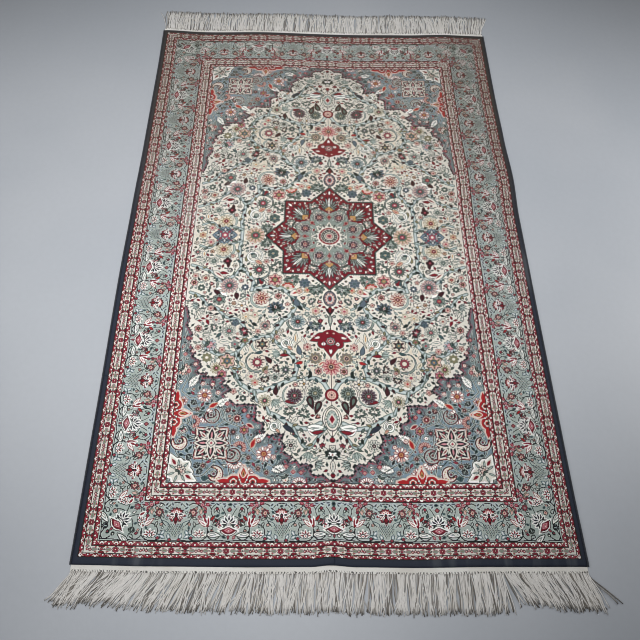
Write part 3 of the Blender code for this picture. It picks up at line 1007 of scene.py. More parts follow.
# Flowers of the field: motif, x, y, turn, radius, and the yarns or counts that the motif takes
FIELD_FLOWERS = (
    (wheel, 225, 0, 0, 27, 12, OLIVE, BLUSH, MOSS, ROSE),
    (quatrefoil, 318, 0, 0, 33),
    (wheel, 318, 54, 0, 21, 9, OLIVE, BUFF, PEACH, RED),
    (floret, 358, 27, 0, 11, BLUSH, ROSE, MOSS, 7),
    (floret, 384, 0, 0, 10, PEACH, RED, OLIVE, 6),
    (wheel, 343, 97, 0, 12, 10, MOSS, CREAM, SAGE, SAGE),
    (spiky, 208, 127, 0, 22, 14, GREEN, MOSS, ROSE),
    (spiral, 226, 78, 0, 25),
    (palmette, 193, 24, 60, 19, MOSS, SAGE, TEAL),
    (peony, 169, 67, 0, 15, MOSS, TEAL, SAGE),
    (floret, 188, 97, 0, 8, BLUSH, RED, GREEN, 5),
    (palmette, 160, 112, 40, 20, MOSS, CREAM, MAROON),
    (peony, 160, 162, 0, 20, BLUSH, ROSE, OLIVE),
    (tulip, 203, 167, 30, 13, TEAL, RED),
    (palmette, 112, 158, 20, 21, MOSS, SAGE, ROSE),
    (half_flower, 122, 190, 170, 18, SCARLET, BLUSH),
    (floret, 73, 172, 0, 15, STEEL, TEAL, GREEN, 7),
    (floret, 89, 200, 0, 9, BLUSH, RED, OLIVE, 5),
    (floret, 65, 196, 0, 9, PEACH, SCARLET, OLIVE, 5),
    (palmette, 38, 190, 10, 22, MOSS, SAGE, TEAL),
    (wheel, 292, 184, 0, 23, 14, MAUVE, BLUSH, MOSS, ROSE),
    (floret, 246, 190, 0, 10, STEEL, WHITE, COAL, 8),
    (peony, 318, 232, 0, 17, SAGE, MOSS, ROSE),
    (floret, 251, 218, 0, 8, SAGE, CREAM, GREEN, 6),
    (open_flower, 253, 252, 0, 15, 5),
    (wheel, 197, 226, 0, 20, 11, RED, BUFF, PEACH, RED),
    (palmette, 154, 262, 200, 22, STEEL, GREEN, RED),
    (floret, 240, 289, 0, 10, BUFF, GOLD, OLIVE, 6),
    (floret, 214, 283, 0, 9, BUFF, ROSE, OLIVE, 5),
    (wheel, 184, 318, 0, 14, 10, MOSS, BLUSH, MAUVE, ROSE),
    (wheel, 92, 303, 0, 19, 12, STEEL, CELADON, MOSS, RED),
    (palmette, 42, 314, 340, 18, STEEL, SAGE, MAUVE),
    (tulip, 28, 302, 180, 8, RED, ROSE),
    (floret, 41, 268, 0, 11, BLUSH, ROSE, OLIVE, 6),
    (floret, 66, 278, 0, 7, SAGE, CREAM, MOSS, 5),
    (floret, 268, 310, 0, 10, STEEL, TEAL, GREEN, 5),
    (palmette, 245, 338, 120, 14, MAROON, ROSE, RED),
    (wheel, 284, 336, 0, 17, 12, MOSS, CREAM, SAGE, ROSE),
    (floret, 340, 262, 0, 9, BLUSH, RED, GREEN, 6),
    (floret, 372, 192, 0, 10, MOSS, CREAM, GREEN, 7),
    (floret, 392, 150, 0, 9, BLUSH, RED, MOSS, 5),
    (wheel, 43, 419, 0, 16, 10, OLIVE, MAUVE, BLUSH, MAROON),
    (floret, 65, 384, 0, 11, BLUSH, RED, MAROON, 6),
    (spiky, 124, 455, 0, 15, 10, GREEN, MOSS, MAUVE),
    (spiky, 202, 433, 0, 19, 12, MAROON, ROSE, BUFF),
    (peony, 190, 377, 0, 19, BUFF, MAROON, MOSS),
    (spiral, 124, 372, 0, 17),
    (floret, 217, 476, 0, 14, BUFF, ROSE, STEEL, 7),
    (floret, 177, 462, 0, 6, BLUSH, RED, MAROON, 5),
    (open_flower, 74, 496, 0, 14, 6),
    (wheel, 99, 531, 0, 19, 14, MAROON, MAUVE, MOSS, ROSE),
    (wheel, 44, 524, 0, 18, 12, GREEN, SAGE, SAGE, OLIVE),
    (palmette, 75, 584, 160, 15, MOSS, CREAM, MAROON),
    (palmette, 112, 578, 190, 14, MOSS, CREAM, MAROON),
    (spiral, 150, 617, 0, 14),
    (wheel, 107, 669, 0, 15, 9, MOSS, CREAM, CREAM, MAROON),
    (tulip, 26, 672, 180, 8, ROSE, RED),
    (wheel, 178, 546, 0, 15, 12, OLIVE, CREAM, MOSS, ROSE),
    (floret, 206, 494, 0, 9, BLUSH, SCARLET, OLIVE, 6),
    (floret, 262, 520, 0, 8, BLUSH, RED, MAROON, 5),
    (floret, 236, 540, 0, 8, MOSS, CREAM, GREEN, 6),
    (wheel, 312, 452, 0, 15, 12, OLIVE, CREAM, OLIVE, ROSE),
    (peony, 296, 470, 0, 12, PINK, ROSE, OLIVE),
    (peony, 284, 430, 0, 20, BLUSH, OLIVE, STEEL),
    (floret, 340, 420, 0, 13, OLIVE, CREAM, MOSS, 8),
    (palmette, 336, 380, 60, 18, SKY, PINK, RED),
    (floret, 366, 388, 0, 8, BLUSH, RED, MAROON, 5),
    (floret, 238, 366, 0, 8, OLIVE, ROSE, GREEN, 5),
    (floret, 300, 396, 0, 9, BLUSH, RED, GREEN, 5),
    (floret, 266, 378, 0, 10, SAGE, ROSE, GREEN, 6),
    (floret, 322, 300, 0, 10, BUFF, RED, STEEL, 6),
    (peony, 362, 158, 0, 11, BUFF, PEACH, ROSE),
    (floret, 303, 97, 0, 11, MAROON, ROSE, COAL, 4),
    (floret, 292, 262, 0, 9, CREAM, ROSE, GREEN, 5),
    (floret, 288, 78, 0, 7, BLUSH, RED, GREEN, 5),
    (floret, 150, 354, 0, 8, BLUSH, RED, GREEN, 5),
    (floret, 138, 334, 0, 7, BUFF, STEEL, GREEN, 5),
    (floret, 204, 336, 0, 8, BLUSH, RED, GREEN, 5),
)


def cradle(spot, r, yarn, edge=GREEN):
    """A broad leaf that curls half way round a flower."""
    count = 15 if r > 24 else 10
    path = curl(count, lambda i: (radians(-110 + 16 * i), r * (1 + 0.014 * i)))
    spot.trace(path, (1.6, 5.6, 1.8), (-0.8, edge), (0.4, yarn))


def free_for(chart, inside, x, y, reach):
    col, row = int(x / chart.step_x), int(y / chart.step_y)
    if not (0 <= col < KNOTS_ACROSS and 0 <= row < KNOTS_ALONG) or not inside[row, col]:
        return False
    block, *_ = chart.patch(x, y, reach)
    return chart.taken[block].mean() < 0.05 and inside[block].all()


def vines_between(chart, inside, places, leaves):
    """Thin dark vines from each flower to its neighbours, behind all else, with leaves beside them."""
    spots = np.array(places)
    joined_up = set()
    for number, (x, y) in enumerate(spots):
        away = np.hypot(spots[:, 0] - x, spots[:, 1] - y)
        for other in np.argsort(away)[1:5]:
            pair = (min(number, other), max(number, other))
            if pair in joined_up or away[other] > 110:
                continue
            joined_up.add(pair)
            there = spots[other]
            across = np.array((y - there[1], there[0] - x)) * (0.26 if (number + other) % 2 else -0.26)
            first = (x * 0.68 + there[0] * 0.32, y * 0.68 + there[1] * 0.32) + across
            second = (x * 0.32 + there[0] * 0.68, y * 0.32 + there[1] * 0.68) - across * 0.6
            points = [(x, y), tuple(first), tuple(second), tuple(there)]
            path = smooth_path(points)
            chart.behind = True
            chart.trace(points, 2.3, MOSS if number % 2 else GREEN, marks=False)
            chart.behind = False
            for k in range(7, len(path) - 7, 9):
                dx, dy = path[k + 3] - path[k]
                heading = degrees(atan2(dy, dx)) - 90
                side = 1 if (k // 9) % 2 else -1
                turn = radians(heading + side * 42)
                leaf_x, leaf_y = path[k][0] - 6 * sin(turn), path[k][1] + 6 * cos(turn)
                if free_for(chart, inside, leaf_x, leaf_y, 3.4):
                    yarn, edge = leaves[(k + number) % len(leaves)]
                    blade(chart.spot(*path[k], heading + side * 42), 11, 5, yarn, edge, bend=side * 1.6)


def ribbons(chart):
    """The broad vines, with leaves and curled tendrils along them."""
    for number, (points, width) in enumerate(RIBBONS):
        path = smooth_path(points)
        for k in range(20, len(path) - 10, 34):
            heading = atan2(*(path[k + 3] - path[k])[::-1])
            side = 1 if (k // 34) % 2 else -1
            hook = [path[k]]
            for i in range(9):
                turn = heading + side * (0.5 + i * 0.62)
                hook.append(hook[-1] + (5 - i * 0.42) * np.array((cos(turn), sin(turn))))
            chart.trace(hook, (1.8, 1.5, 1.2), GREEN)
            bead(chart.spot(*hook[-1]), 2.4, ROSE if side > 0 else TEAL)
        chart.trace(points, width * 2, (-0.7, MOSS), (0.3, SAGE), (1.9, SKY), (3.8, FROST))
        for k in range(14, len(path) - 10, 19):
            heading = degrees(atan2(*(path[k + 3] - path[k])[::-1])) - 90
            side = 1 if (k // 19) % 2 else -1
            yarn = (GREEN, TEAL, MAROON, OLIVE, MOSS)[(k // 19 + number) % 5]
            blade(chart.spot(*path[k], heading + side * 52), 14, 6, yarn, bend=side * 2)


def warm_grounds(chart):
    """Warmer and cooler patches of the ivory, with soft edges."""
    is_field = chart.rim > BAND_AT["field"] + 1
    grain = chart.chance.random(chart.rim.shape)
    for at_x, at_y, reach, yarn in (
        (60, 440, 120, BUFF),
        (215, 420, 90, BUFF),
        (320, 20, 110, BUFF),
        (230, 300, 70, BUFF),
        (40, 640, 110, CREAM),
        (390, 120, 90, CREAM),
        (140, 120, 120, CREAM),
        (210, 580, 90, CREAM),
        (60, 240, 70, BUFF),
    ):
        share = 1 - np.hypot(chart.x - at_x, chart.y - at_y) / reach
        chart.knots[is_field & (grain < share * 1.4)] = yarn


def fill_gaps(chart, inside, kinds, tries, margin):
    """Sets small things where nothing is yet, and gives back their places. Each kind is the room that
    it takes, its motif and what the motif takes."""
    xs = chart.chance.uniform(0, HALF_WIDTH, tries)
    ys = chart.chance.uniform(0, HALF_LENGTH, tries)
    turns = chart.chance.uniform(0, 360, tries)
    picks = chart.chance.integers(0, len(kinds), tries)
    placed = []
    for x, y, turn, pick in zip(xs, ys, turns, picks):
        reach, draw, *rest = kinds[pick]
        if free_for(chart, inside, x, y, reach + margin):
            draw(chart.spot(x, y, turn), *rest)
            placed.append((x, y))
    return placed


def field(chart):
    chart.halo = BLEACHED
    warm_grounds(chart)
    ribbons(chart)
    for x, y, turn, length, width, bend, yarn, vein in PALE_LEAVES:
        blade(chart.spot(x, y, turn), length, width, yarn, MOSS, bend=bend, vein=vein)
    for x, y, turn, length, width, bend, yarn in STRONG_LEAVES:
        blade(chart.spot(x, y, turn), length, width, yarn, GREEN, bend=bend)
    for draw, x, y, turn, r, *rest in FIELD_FLOWERS:
        draw(chart.spot(x, y, turn), r * 1.1, *rest)
        if r > 17 and draw in (wheel, spiky, peony):
            yarn, edge = ((CELADON, MOSS), (CREAM, GREEN), (SAGE, GREEN))[(x + y) % 3]
            chart.behind = True
            cradle(chart.spot(x, y, x * 7 % 360, 1, 1 if y % 2 else -1), r * 1.1 + 6, yarn, edge)
            chart.behind = False
    for x, y, turn, yarn in ((60, 550, 8, MAROON), (30, 566, -28, MAROON)):
        paisley(chart.spot(x, y - 18, turn), 38, 24, yarn, MOSS, bend=-5)


FIELD_LARGE = (
    (12.5, lowered, 4, palmette, 12.5, MOSS, CREAM, ROSE),
    (12.5, lowered, 4, palmette, 12.5, MAROON, BUFF, MOSS),
    (11.5, peony, 11, BLUSH, ROSE, MAROON),
    (11.5, wheel, 11.5, 9, MOSS, CREAM, SAGE, MAROON),
    (11.5, spiky, 12, 10, GREEN, SAGE, ROSE),
    (12, acanthus, CELADON, GREEN, 13),
    (12, acanthus, CREAM, MOSS, 13),
    (12, acanthus, CELADON, MOSS, 13),
)
FIELD_MIDDLE = (
    (7.5, floret, 7.4, BLUSH, RED, COAL, 5),
    (7.5, floret, 7.4, BUFF, MAROON, COAL, 6),
    (7.5, floret, 7, PEACH, MAROON, GREEN, 6),
    (7.5, tulip, 7.6, RED, BLUSH),
    (7.5, acanthus, SAGE, GREEN, 8.4),
    (7.5, acanthus, CREAM, GREEN, 8.4),
    (7.5, sprig, SAGE, GREEN, 16, RED),
    (7.5, tendril, GREEN, 6.8, TEAL),
    (7.5, tendril, MOSS, 6.8, ROSE),
)
FIELD_LITTLE = (
    (4.8, floret, 4.8, BLUSH, RED, GREEN, 5),
    (4.8, floret, 4.8, SAGE, CREAM, COAL, 5),
    (4.6, small, RED, MAROON, 10, 5),
    (4.6, small, SAGE, GREEN, 10, 5),
    (4.6, small, COAL, MOSS, 10, 4.6),
    (4.6, small, MOSS, GREEN, 10, 5),
    (4.6, tendril, GREEN, 4.4, OLIVE),
    (4.6, tendril, MOSS, 4.4, ROSE),
)
FIELD_TINY = (
    (3, small, GREEN, MOSS, 7, 3.2),
    (3, small, SAGE, MOSS, 7, 3.4),
    (2.8, small, OLIVE, MOSS, 6, 3),
    (2.8, bead, 1.9, ROSE, MOSS),
)
FIELD_LEAVES = (
    (GREEN, GREEN),
    (SAGE, GREEN),
    (MOSS, GREEN),
    (CELADON, MOSS),
    (RED, MAROON),
    (MOSS, COAL),
)


def field_small_things(chart, inside):
    places = [(row[1], row[2]) for row in FIELD_FLOWERS]
    places += fill_gaps(chart, inside, FIELD_LARGE, 9000, 0.3)
    vines_between(chart, inside, places, FIELD_LEAVES)
    fill_gaps(chart, inside, FIELD_MIDDLE, 16000, 0.2)
    fill_gaps(chart, inside, FIELD_LITTLE, 26000, 0.1)
    fill_gaps(chart, inside, FIELD_TINY, 20000, 0.1)


# Corner spandrels

# The spandrel's edge from the long side to the rug's end: the tips of its leaves and the notches
SPANDREL_EDGE = (
    (430, 240), (406, 258), (396, 300), (402, 318), (386, 342), (384, 362), (392, 374), (371, 404),
    (380, 418), (358, 430), (352, 448), (366, 464), (352, 468), (336, 466), (338, 478), (318, 479),
    (300, 476), (286, 488), (296, 500), (281, 503), (270, 516), (290, 530), (268, 548), (254, 559),
    (226, 557), (201, 558), (200, 580), (202, 602), (190, 606), (178, 609), (180, 624), (174, 640),
    (160, 644), (144, 638), (126, 640), (134, 656), (122, 672), (129, 685), (118, 692), (104, 700),
    (112, 714), (92, 709), (84, 721), (70, 717), (53, 722), (57, 735), (52, 746), (38, 750),
    (26, 748), (12, 761), (0, 765), (0, 790), (430, 790),
)
# Leaves whose tips those are: x, y, turn, length, width
EDGE_LEAVES = (
    (404, 300, 70, 26, 14),
    (402, 356, 74, 30, 15),
    (398, 398, 80, 34, 16),
    (384, 442, 92, 38, 17),
    (352, 500, 158, 32, 16),
    (322, 510, 168, 34, 16),
    (308, 520, 128, 36, 17),
    (244, 590, 142, 40, 20),
    (238, 602, 116, 38, 17),
    (206, 640, 110, 34, 16),
    (164, 672, 146, 44, 20),
    (168, 690, 112, 40, 18),
    (136, 724, 126, 34, 16),
    (92, 750, 130, 44, 18),
    (88, 762, 100, 40, 15),
    (48, 768, 90, 38, 13),
)
# White toothed leaves in the notches: x, y, turn
NOTCH_LEAVES = (
    (380, 510, 152),
    (306, 566, 132),
    (208, 664, 128),
    (156, 736, 108),
)


def depth_inside(corners, x, y):
    """How deep each place lies inside a polygon."""
    corners = np.array(corners, float)
    crossed = np.zeros(x.shape, bool)
    nearest = np.full(x.shape, 1e9)
    for (ax, ay), (bx, by) in zip(corners, np.roll(corners, -1, 0)):
        run, rise = bx - ax, by - ay
        if rise:
            crossed ^= ((ay > y) != (by > y)) & (x < run * (y - ay) / rise + ax)
        share = np.clip(((x - ax) * run + (y - ay) * rise) / np.hypot(run, rise) ** 2, 0, 1)
        nearest = np.minimum(nearest, np.hypot(x - ax - share * run, y - ay - share * rise))
    return np.where(crossed, nearest, -nearest)


def saw(x, y, pitch):
    """Teeth that show along an edge in any direction."""
    first = np.abs(((x * 0.8 + y * 0.6) / pitch) % 1 - 0.5)
    second = np.abs(((y * 0.8 - x * 0.6) / pitch) % 1 - 0.5)
    return (first + second) * 2 - 1


def cockle(spot, r, outer, inner, heart):
    """A leaf curled like a shell, with ribs across it and a dark eye."""
    path = curl(12, lambda i: (radians(-140 + 24 * i), r * (0.72 + 0.03 * i)))
    spot.trace(path, (2.4, r * 0.86, 2.4), (-1.6, COAL), (-0.4, RED), (0.8, outer))
    for i, (u, v) in enumerate(path[1:-1]):
        rib = spot.at(u, v, degrees(atan2(u, v)))
        rib.lay(leaf(r * 0.34, r * 0.13), r, inner if i % 2 else ROSE, marks=False)
    spot.lay(disc(r * 0.36), r, (-1, COAL), (0.3, CREAM), (1.8, heart))
    spot.lay(disc(r * 0.12), r, RED)


def daisy(spot, r, petals=13):
    """White and pink petals round a gold and crimson heart."""
    for k, petal in enumerate(spot.round(petals, r * 0.3)):
        petal.lay(
            leaf(r * 0.72, r * 0.3, belly=1.5), r, (-0.6, RED if k % 2 else MAUVE),
            (0.3, WHITE if k % 2 else BLUSH),
        )
    spot.lay(disc(r * 0.3), r, (-0.7, RED), (0.6, GOLD))
    spot.lay(disc(r * 0.12), r, RED)


def half_daisy(spot, r, petal=WHITE):
    for turn in range(-90, 91, 22):
        spot.at(0, 0, turn).at(0, r * 0.36).lay(
            leaf(r * 0.66, r * 0.3, belly=1.5), r, (-0.6, RED), (0.3, petal)
        )
    spot.lay(fan(r * 0.36, 3, 1.6), r, (-0.8, GREEN), (0.4, SLATE), (2, SKY))


def vermilion_palmette(spot):
    """Half a palmette that stands on the inner guard. v points into the spandrel."""
    shape = joined(
        (leaf(60, 26), 0, -12, 0),
        (disc(19), -23, 1, 0),
        (disc(19), 23, 1, 0),
        (leaf(34, 16, -5), -32, 0, 72),
        (leaf(34, 16, 5), 32, 0, -72),
    )
    spot.lay(shape, 70, (-2.4, BLUSH), (-1.4, CREAM), (0.6, SCARLET))
    for half in spot.both():
        lobe = half.at(24, 3)
        lobe.lay(bloom(9.5, 5, 0.25), 14, (-1, MAROON), CREAM)
        lobe.lay(disc(4), 7, (-0.8, SCARLET), (1, GREEN))
        half.trace([(4, -2), (12, 20), (5, 38)], 1.6, CREAM)
        bead(half.at(9, 8), 2.4, WHITE, MAROON)
    spot.leaf(0, 14, 0, 26, 12, (-1.6, CREAM), (0.2, SCARLET))
    spot.leaf(0, 17, 0, 13, 5, (-0.4, GOLD), (0.9, MAROON))


def knotwork(spot):
    """The dark and ivory diamond of interlaced leaves in the middle of a spandrel."""
    for quarter in spot.round(4, 0, 45):
        quarter.lay(leaf(62, 42), 68, (-3.8, COAL), (-2.6, RED), (-0.8, BLUSH), (1.4, SMOKE))
    for quarter in spot.round(4, 0):
        quarter.lay(leaf(47, 26), 54, (-2.6, COAL), (-1.4, RED), (0.4, BLUSH), (2, SMOKE))
    for quarter in spot.round(4, 0, 45):
        quarter.leaf(0, 6, 0, 50, 33, (-2, IVORY), (0.9, COAL))
        quarter.at(0, 20).lay(leaf(27, 8), 40, IVORY, (1.9, RED))
        for half in quarter.both():
            half.at(3, 18, -40).lay(leaf(16, 5.2, -3), 28, IVORY)
            half.at(8, 38, 20).lay(disc(2.6), 4, ROSE)
    for quarter in spot.round(4, 0):
        quarter.lay(leaf(44, 17), 48, (-1.9, IVORY), (0.7, COAL))
        quarter.leaf(0, 14, 0, 20, 6, PINK)
        for half in quarter.both():
            half.leaf(20, 38, 50, 14, 6, (-0.8, COAL), (0.4, IVORY))
    spot.lay(diamond(13, 13), 18, (-1.9, IVORY), (0.7, COAL))
    spot.lay(bloom(7, 4, 0.3), 9, (-0.2, IVORY), (2.6, ROSE))


def corner_palmette(spot):
    """The cream flower in the field's very corner. v points to the rug's middle."""
    shape = joined(
        (bloom(34, 7, 0.2), 0, 0, 0),
        (leaf(54, 26, -6), 0, -6, 62),
        (leaf(54, 26, 6), 0, -6, -62),
    )
    spot.lay(shape, 62, (-2, COAL), (-0.6, WHITE), (5, IVORY))
    for petal in spot.round(7, 12):
        petal.lay(leaf(18, 5), 24, MOSS, (0.9, CELADON))
    palmette(spot.at(0, 2), 14, CREAM, BLUSH, RED, COAL)
    for half in spot.both():
        blade(half.at(18, 4, -70), 20, 8, RED, CREAM, bend=3)


CORNER_LARGE = (
    (10, acanthus, CELADON, COAL, 11),
    (10, acanthus, SMOKE, COAL, 11),
    (10, spiky, 10.5, 9, COAL, BLUSH, RED),
    (10, lowered, 3, palmette, 10.5, WHITE, ROSE, RED, COAL),
)
CORNER_MIDDLE = (
    (6.2, floret, 6, WHITE, RED, COAL, 6),
    (6.2, floret, 6, ROSE, RED, COAL, 5),
    (6.2, tendril, COAL, 5.8, ROSE),
    (6.2, acanthus, BLUSH, MAROON, 7.2),
    (6.2, acanthus, CELADON, COAL, 7.2),
    (6.2, acanthus, GREEN, TEAL, 7.2),
)
CORNER_LITTLE = (
    (4.4, small, COAL, TEAL, 10, 4.6),
    (4.4, small, COAL, COAL, 11, 4),
    (4.4, small, ROSE, MAROON, 9, 4.6),
    (4.4, small, MAUVE, RED, 10, 5.2),
    (4.4, small, CELADON, RED, 10, 4.8),
    (4.4, small, WHITE, COAL, 9, 4.6),
    (4.4, tendril, COAL, 4, WHITE),
    (4.4, floret, 3.8, BLUSH, RED, COAL, 4),
    (4.4, small, SKY, COAL),
    (4.4, small, GREEN, TEAL),
)
CORNER_TINY = (
    (2.7, small, COAL, TEAL, 5.2, 2.6),
    (2.3, bead, 1.5, WHITE, TEAL),
    (2.3, bead, 1.4, ROSE, COAL),
    (2.7, small, MAUVE, COAL, 5.2, 2.6),
    (2.7, small, SKY, TEAL, 5.2, 2.6),
)


def spandrel(chart):
    at = chart.spot
    x, y = chart.x, chart.y
    depth = depth_inside(SPANDREL_EDGE, x, y) + 3 * saw(x, y, 8.2)
    in_field = chart.rim > BAND_AT["field"] + 0.8
    inside = (depth > -2.6) & in_field
    kept = chart.knots.copy()
    chart.taken[inside] = False
    chart.halo = None
    band = 34 + 16 * np.sin(x / 21 + 0.6) * np.cos(y / 24)
    rings = ((-4, BLEACHED), (-2.6, COAL), (1.4, MAUVE), (2.8, ROSE), (4.4, MAUVE), (6.4, SMOKE))
    chart.paint(chart.whole, np.where(in_field, depth, -99), rings, marks=False)
    for at_x, at_y, turn, length, width in EDGE_LEAVES:
        edge_leaf = at(at_x, at_y, turn)
        shape = leaf(length, width * 1.2, teeth=2.4)
        edge_leaf.lay(shape, length + 3, (-0.6, COAL), (1, MAUVE), (3, SMOKE))
        edge_leaf.trace([(0, 2), (0, length * 0.8)], 1.8, COAL)
        for half in edge_leaf.both():
            for along in (0.3, 0.5, 0.7):
                vein = half.at(0, length * along, 45)
                vein.lay(leaf(width * 0.44, 3), width, ROSE if along == 0.5 else COAL, marks=False)
    middle = np.where(in_field, depth - band, -99)
    chart.paint(chart.whole, middle, ((-1.8, SMOKE), (0.6, SLATE)), marks=False)
    for at_x, at_y, turn in NOTCH_LEAVES:
        leaf_spot = at(at_x, at_y, turn)
        leaf_spot.lay(leaf(50, 24, 4, teeth=5), 56, (-2.6, COAL), (0.2, WHITE))
        leaf_spot.trace([(0, 8), (1.6, 36)], 1.3, SAGE)
        for side in (-1, 1):
            for v in (14, 22, 30):
                leaf_spot.leaf(0.6, v, side * 50, 7, 1.8, SAGE)
    chart.halo = FROST
    for points in (
        ((404, 330), (392, 380), (400, 430), (384, 470), (398, 520)),
        ((398, 520), (370, 540), (330, 530), (300, 560), (282, 600), (240, 620)),
        ((240, 620), (226, 660), (240, 700), (262, 726), (252, 762)),
        ((240, 620), (200, 690), (150, 726), (96, 756)),
        ((345, 640), (380, 610), (404, 640), (396, 690), (372, 710)),
        ((300, 720), (330, 750), (360, 742), (366, 716)),
        ((270, 632), (262, 650), (266, 690), (280, 712)),
        ((300, 618), (280, 600), (286, 572), (312, 560)),
    ):
        chart.trace(points, 2, COAL)
    chart.outline = 0.95
    half_daisy(at(333, 588, 60), 22)
    half_daisy(at(360, 606, 100), 17, BLUSH)
    half_daisy(at(248, 712, -20), 20)
    half_daisy(at(238, 676, 150), 17, BLUSH)
    cockle(at(390, 660, 20), 17, CREAM, GOLD, STEEL)
    cockle(at(298, 744, 70, 1, -1), 17, CREAM, GOLD, STEEL)
    cockle(at(256, 694, 60), 17, CELADON, GREEN, TEAL)
    cockle(at(316, 588, 20, 1, -1), 17, CELADON, GREEN, TEAL)
    knotwork(at(310, 664, 0, 0.93))
    daisy(at(337, 532), 19)
    daisy(at(175, 692), 20)
    daisy(at(214, 742), 15, 11)
    daisy(at(392, 548), 12, 11)
    spiky(at(248, 597), 18, 12, COAL, BLUSH, RED)
    spiky(at(256, 634), 13, 10, COAL, MAUVE, RED)
    peony(at(228, 628), 12, PINK, RED, GOLD)
    blade(at(322, 566, 120), 24, 10, SCARLET, PEACH)
    blade(at(208, 676, 160), 26, 10, SCARLET, PEACH)
    blade(at(222, 612, 60), 20, 8, RED, BLUSH)
    palmette(at(398, 456, 60), 18, BLUSH, CREAM, RED, COAL)
    palmette(at(120, 756, 20), 16, SKY, CREAM, SCARLET, COAL)
    half_daisy(at(84, 770, 180), 18)
    for at_x, at_y in (
        (344, 498), (302, 524), (318, 500), (190, 656), (160, 672),
        (150, 700), (390, 300), (378, 400), (368, 440),
    ):
        floret(at(at_x, at_y), 5.6, CREAM, SCARLET, RED, 5)
    for at_x, at_y in (
        (276, 556), (230, 574), (118, 724), (80, 740), (384, 462),
        (398, 410), (394, 360), (100, 738), (220, 590),
    ):
        floret(at(at_x, at_y), 4.8, PINK, GOLD, RED, 4)
    vermilion_palmette(at(413, 584, 90))
    vermilion_palmette(at(224, 767, 180))
    corner_palmette(at(384, 738, 135))
    free = inside & (depth > 4)
    places = [
        (333, 588), (248, 712), (390, 660), (298, 744), (310, 664),
        (337, 532), (175, 692), (248, 597), (398, 456),
    ]
    places += fill_gaps(chart, free, CORNER_LARGE, 5000, 0)
    leaves = ((COAL, TEAL), (CELADON, COAL), (ROSE, MAROON), (GREEN, TEAL))
    vines_between(chart, free, places, leaves)
    fill_gaps(chart, free, CORNER_MIDDLE, 7000, 0)
    fill_gaps(chart, free, CORNER_LITTLE, 12000, 0.2)
    fill_gaps(chart, free, CORNER_TINY, 16000, 0.2)
    chart.halo, chart.outline = None, 0
    chart.put_back(kept, ~inside)
    return inside


BORDER_MIDDLE = (
    (5.4, acanthus, CELADON, GREEN, 6.6),
    (5.4, acanthus, SKY, COAL, 6.6),
    (5.4, tendril, COAL, 5, ROSE),
    (5.4, tendril, COAL, 5, WHITE),
    (5.4, lowered, 3, tulip, 5.6, PINK, RED),
    (5.4, floret, 5.2, BLUSH, RED, COAL, 5),
)
BORDER_LITTLE = (
    (3.6, small, COAL, TEAL, 8.4, 3.8),
    (3.6, small, WHITE, COAL, 8, 4.2),
    (3.6, small, WHITE, GREEN, 8, 4.2),
    (3.6, small, ROSE, MAROON, 7.5, 3.8),
    (3.6, small, PINK, RED, 7.5, 3.8),
    (3.6, small, TEAL, GREEN, 8.4, 4.2),
    (3.6, tendril, GREEN, 3.4, ROSE),
)
BORDER_TINY = (
    (2.6, small, GREEN, TEAL, 5.4, 2.6),
    (2.6, bead, 1.5, WHITE, TEAL),
    (2.6, small, MOSS, TEAL, 5.4, 2.6),
)


def draw_rug():
    """The whole quarter: field first, then what lies over it, then the borders round it."""
    chart = Chart()
    borders(chart)
    kept = chart.knots.copy()
    chart.taken[:] = False
    chart.outline = 0.6
    field(chart)
    on_the_axis(chart)
    chart.halo = None
    medallion(chart)
    chart.outline = 0.0
    inside = spandrel(chart)
    in_field = chart.rim > BAND_AT["field"] + 0.9
    chart.taken[inside] = True
    chart.halo, chart.outline = BLEACHED, 0.55
    field_small_things(chart, in_field & ~inside)
    chart.put_back(kept, ~in_field)
    chart.halo, chart.outline = None, 0.95
    border = chart.between(BAND_AT["main_border"] + 1, BAND_AT["third_stripe"] - 1)
    chart.taken[border] = ~np.isin(chart.knots[border], (CELADON, FROST))
    fill_gaps(chart, border, BORDER_MIDDLE, 9000, 0.2)
    fill_gaps(chart, border, BORDER_LITTLE, 20000, 0.1)
    fill_gaps(chart, border, BORDER_TINY, 12000, 0.1)
    return chart.knots


# Cloth shape, in metres. These are the same values as the solids have.
RUG_WIDTH = 1.220
PILE_LENGTH = 1.928
PILE_THICKNESS = 0.0050
SELVEDGE_WIDTH = 0.0045
SELVEDGE_HEIGHT = 0.0046
STRIP_WIDTH = 0.0150
STRIP_THICKNESS = 0.0018
SEAM_GAP = 0.0003
RIM_SHARE = 0.6

# How far each edge strays outwards from its straight line: (place along it in metres, millimetres)
EDGE_STRAY_MM = {
    "left": ((-0.97, -1), (-0.60, 0), (-0.15, 3), (0.10, 1), (0.38, -2), (0.77, -3), (0.97, -1)),
    "right": ((-0.97, 3), (-0.75, 1), (-0.35, 1), (0.08, 2), (0.25, 8), (0.42, 3), (0.63, 1), (0.97, 3)),
    "near": (
        (-0.62, 2), (-0.40, 5), (-0.20, 6), (-0.05, 5), (0.0, 1), (0.06, 5), (0.20, 6), (0.38, 3), (0.62, 2),
    ),
    "far": ((-0.62, 4), (-0.46, -3), (-0.23, 2), (0.10, -4), (0.30, 0), (0.46, 5), (0.62, 2)),
}
# Soft ridges: (place across the rug, end it rises towards, height, half width, reach from that end)
RIDGES = (
    (-0.440, -1, 0.0012, 0.060, 0.35),
    (-0.190, -1, 0.0020, 0.035, 0.30),
    (0.004, -1, 0.0026, 0.022, 0.26),
    (0.330, -1, 0.0014, 0.070, 0.40),
    (-0.560, 1, 0.0022, 0.060, 0.22),
    (-0.230, 1, 0.0016, 0.090, 0.25),
    (0.450, 1, 0.0024, 0.080, 0.30),
)
# The design is woven a little to the right of the rug's middle
DESIGN_SHIFT = 0.009

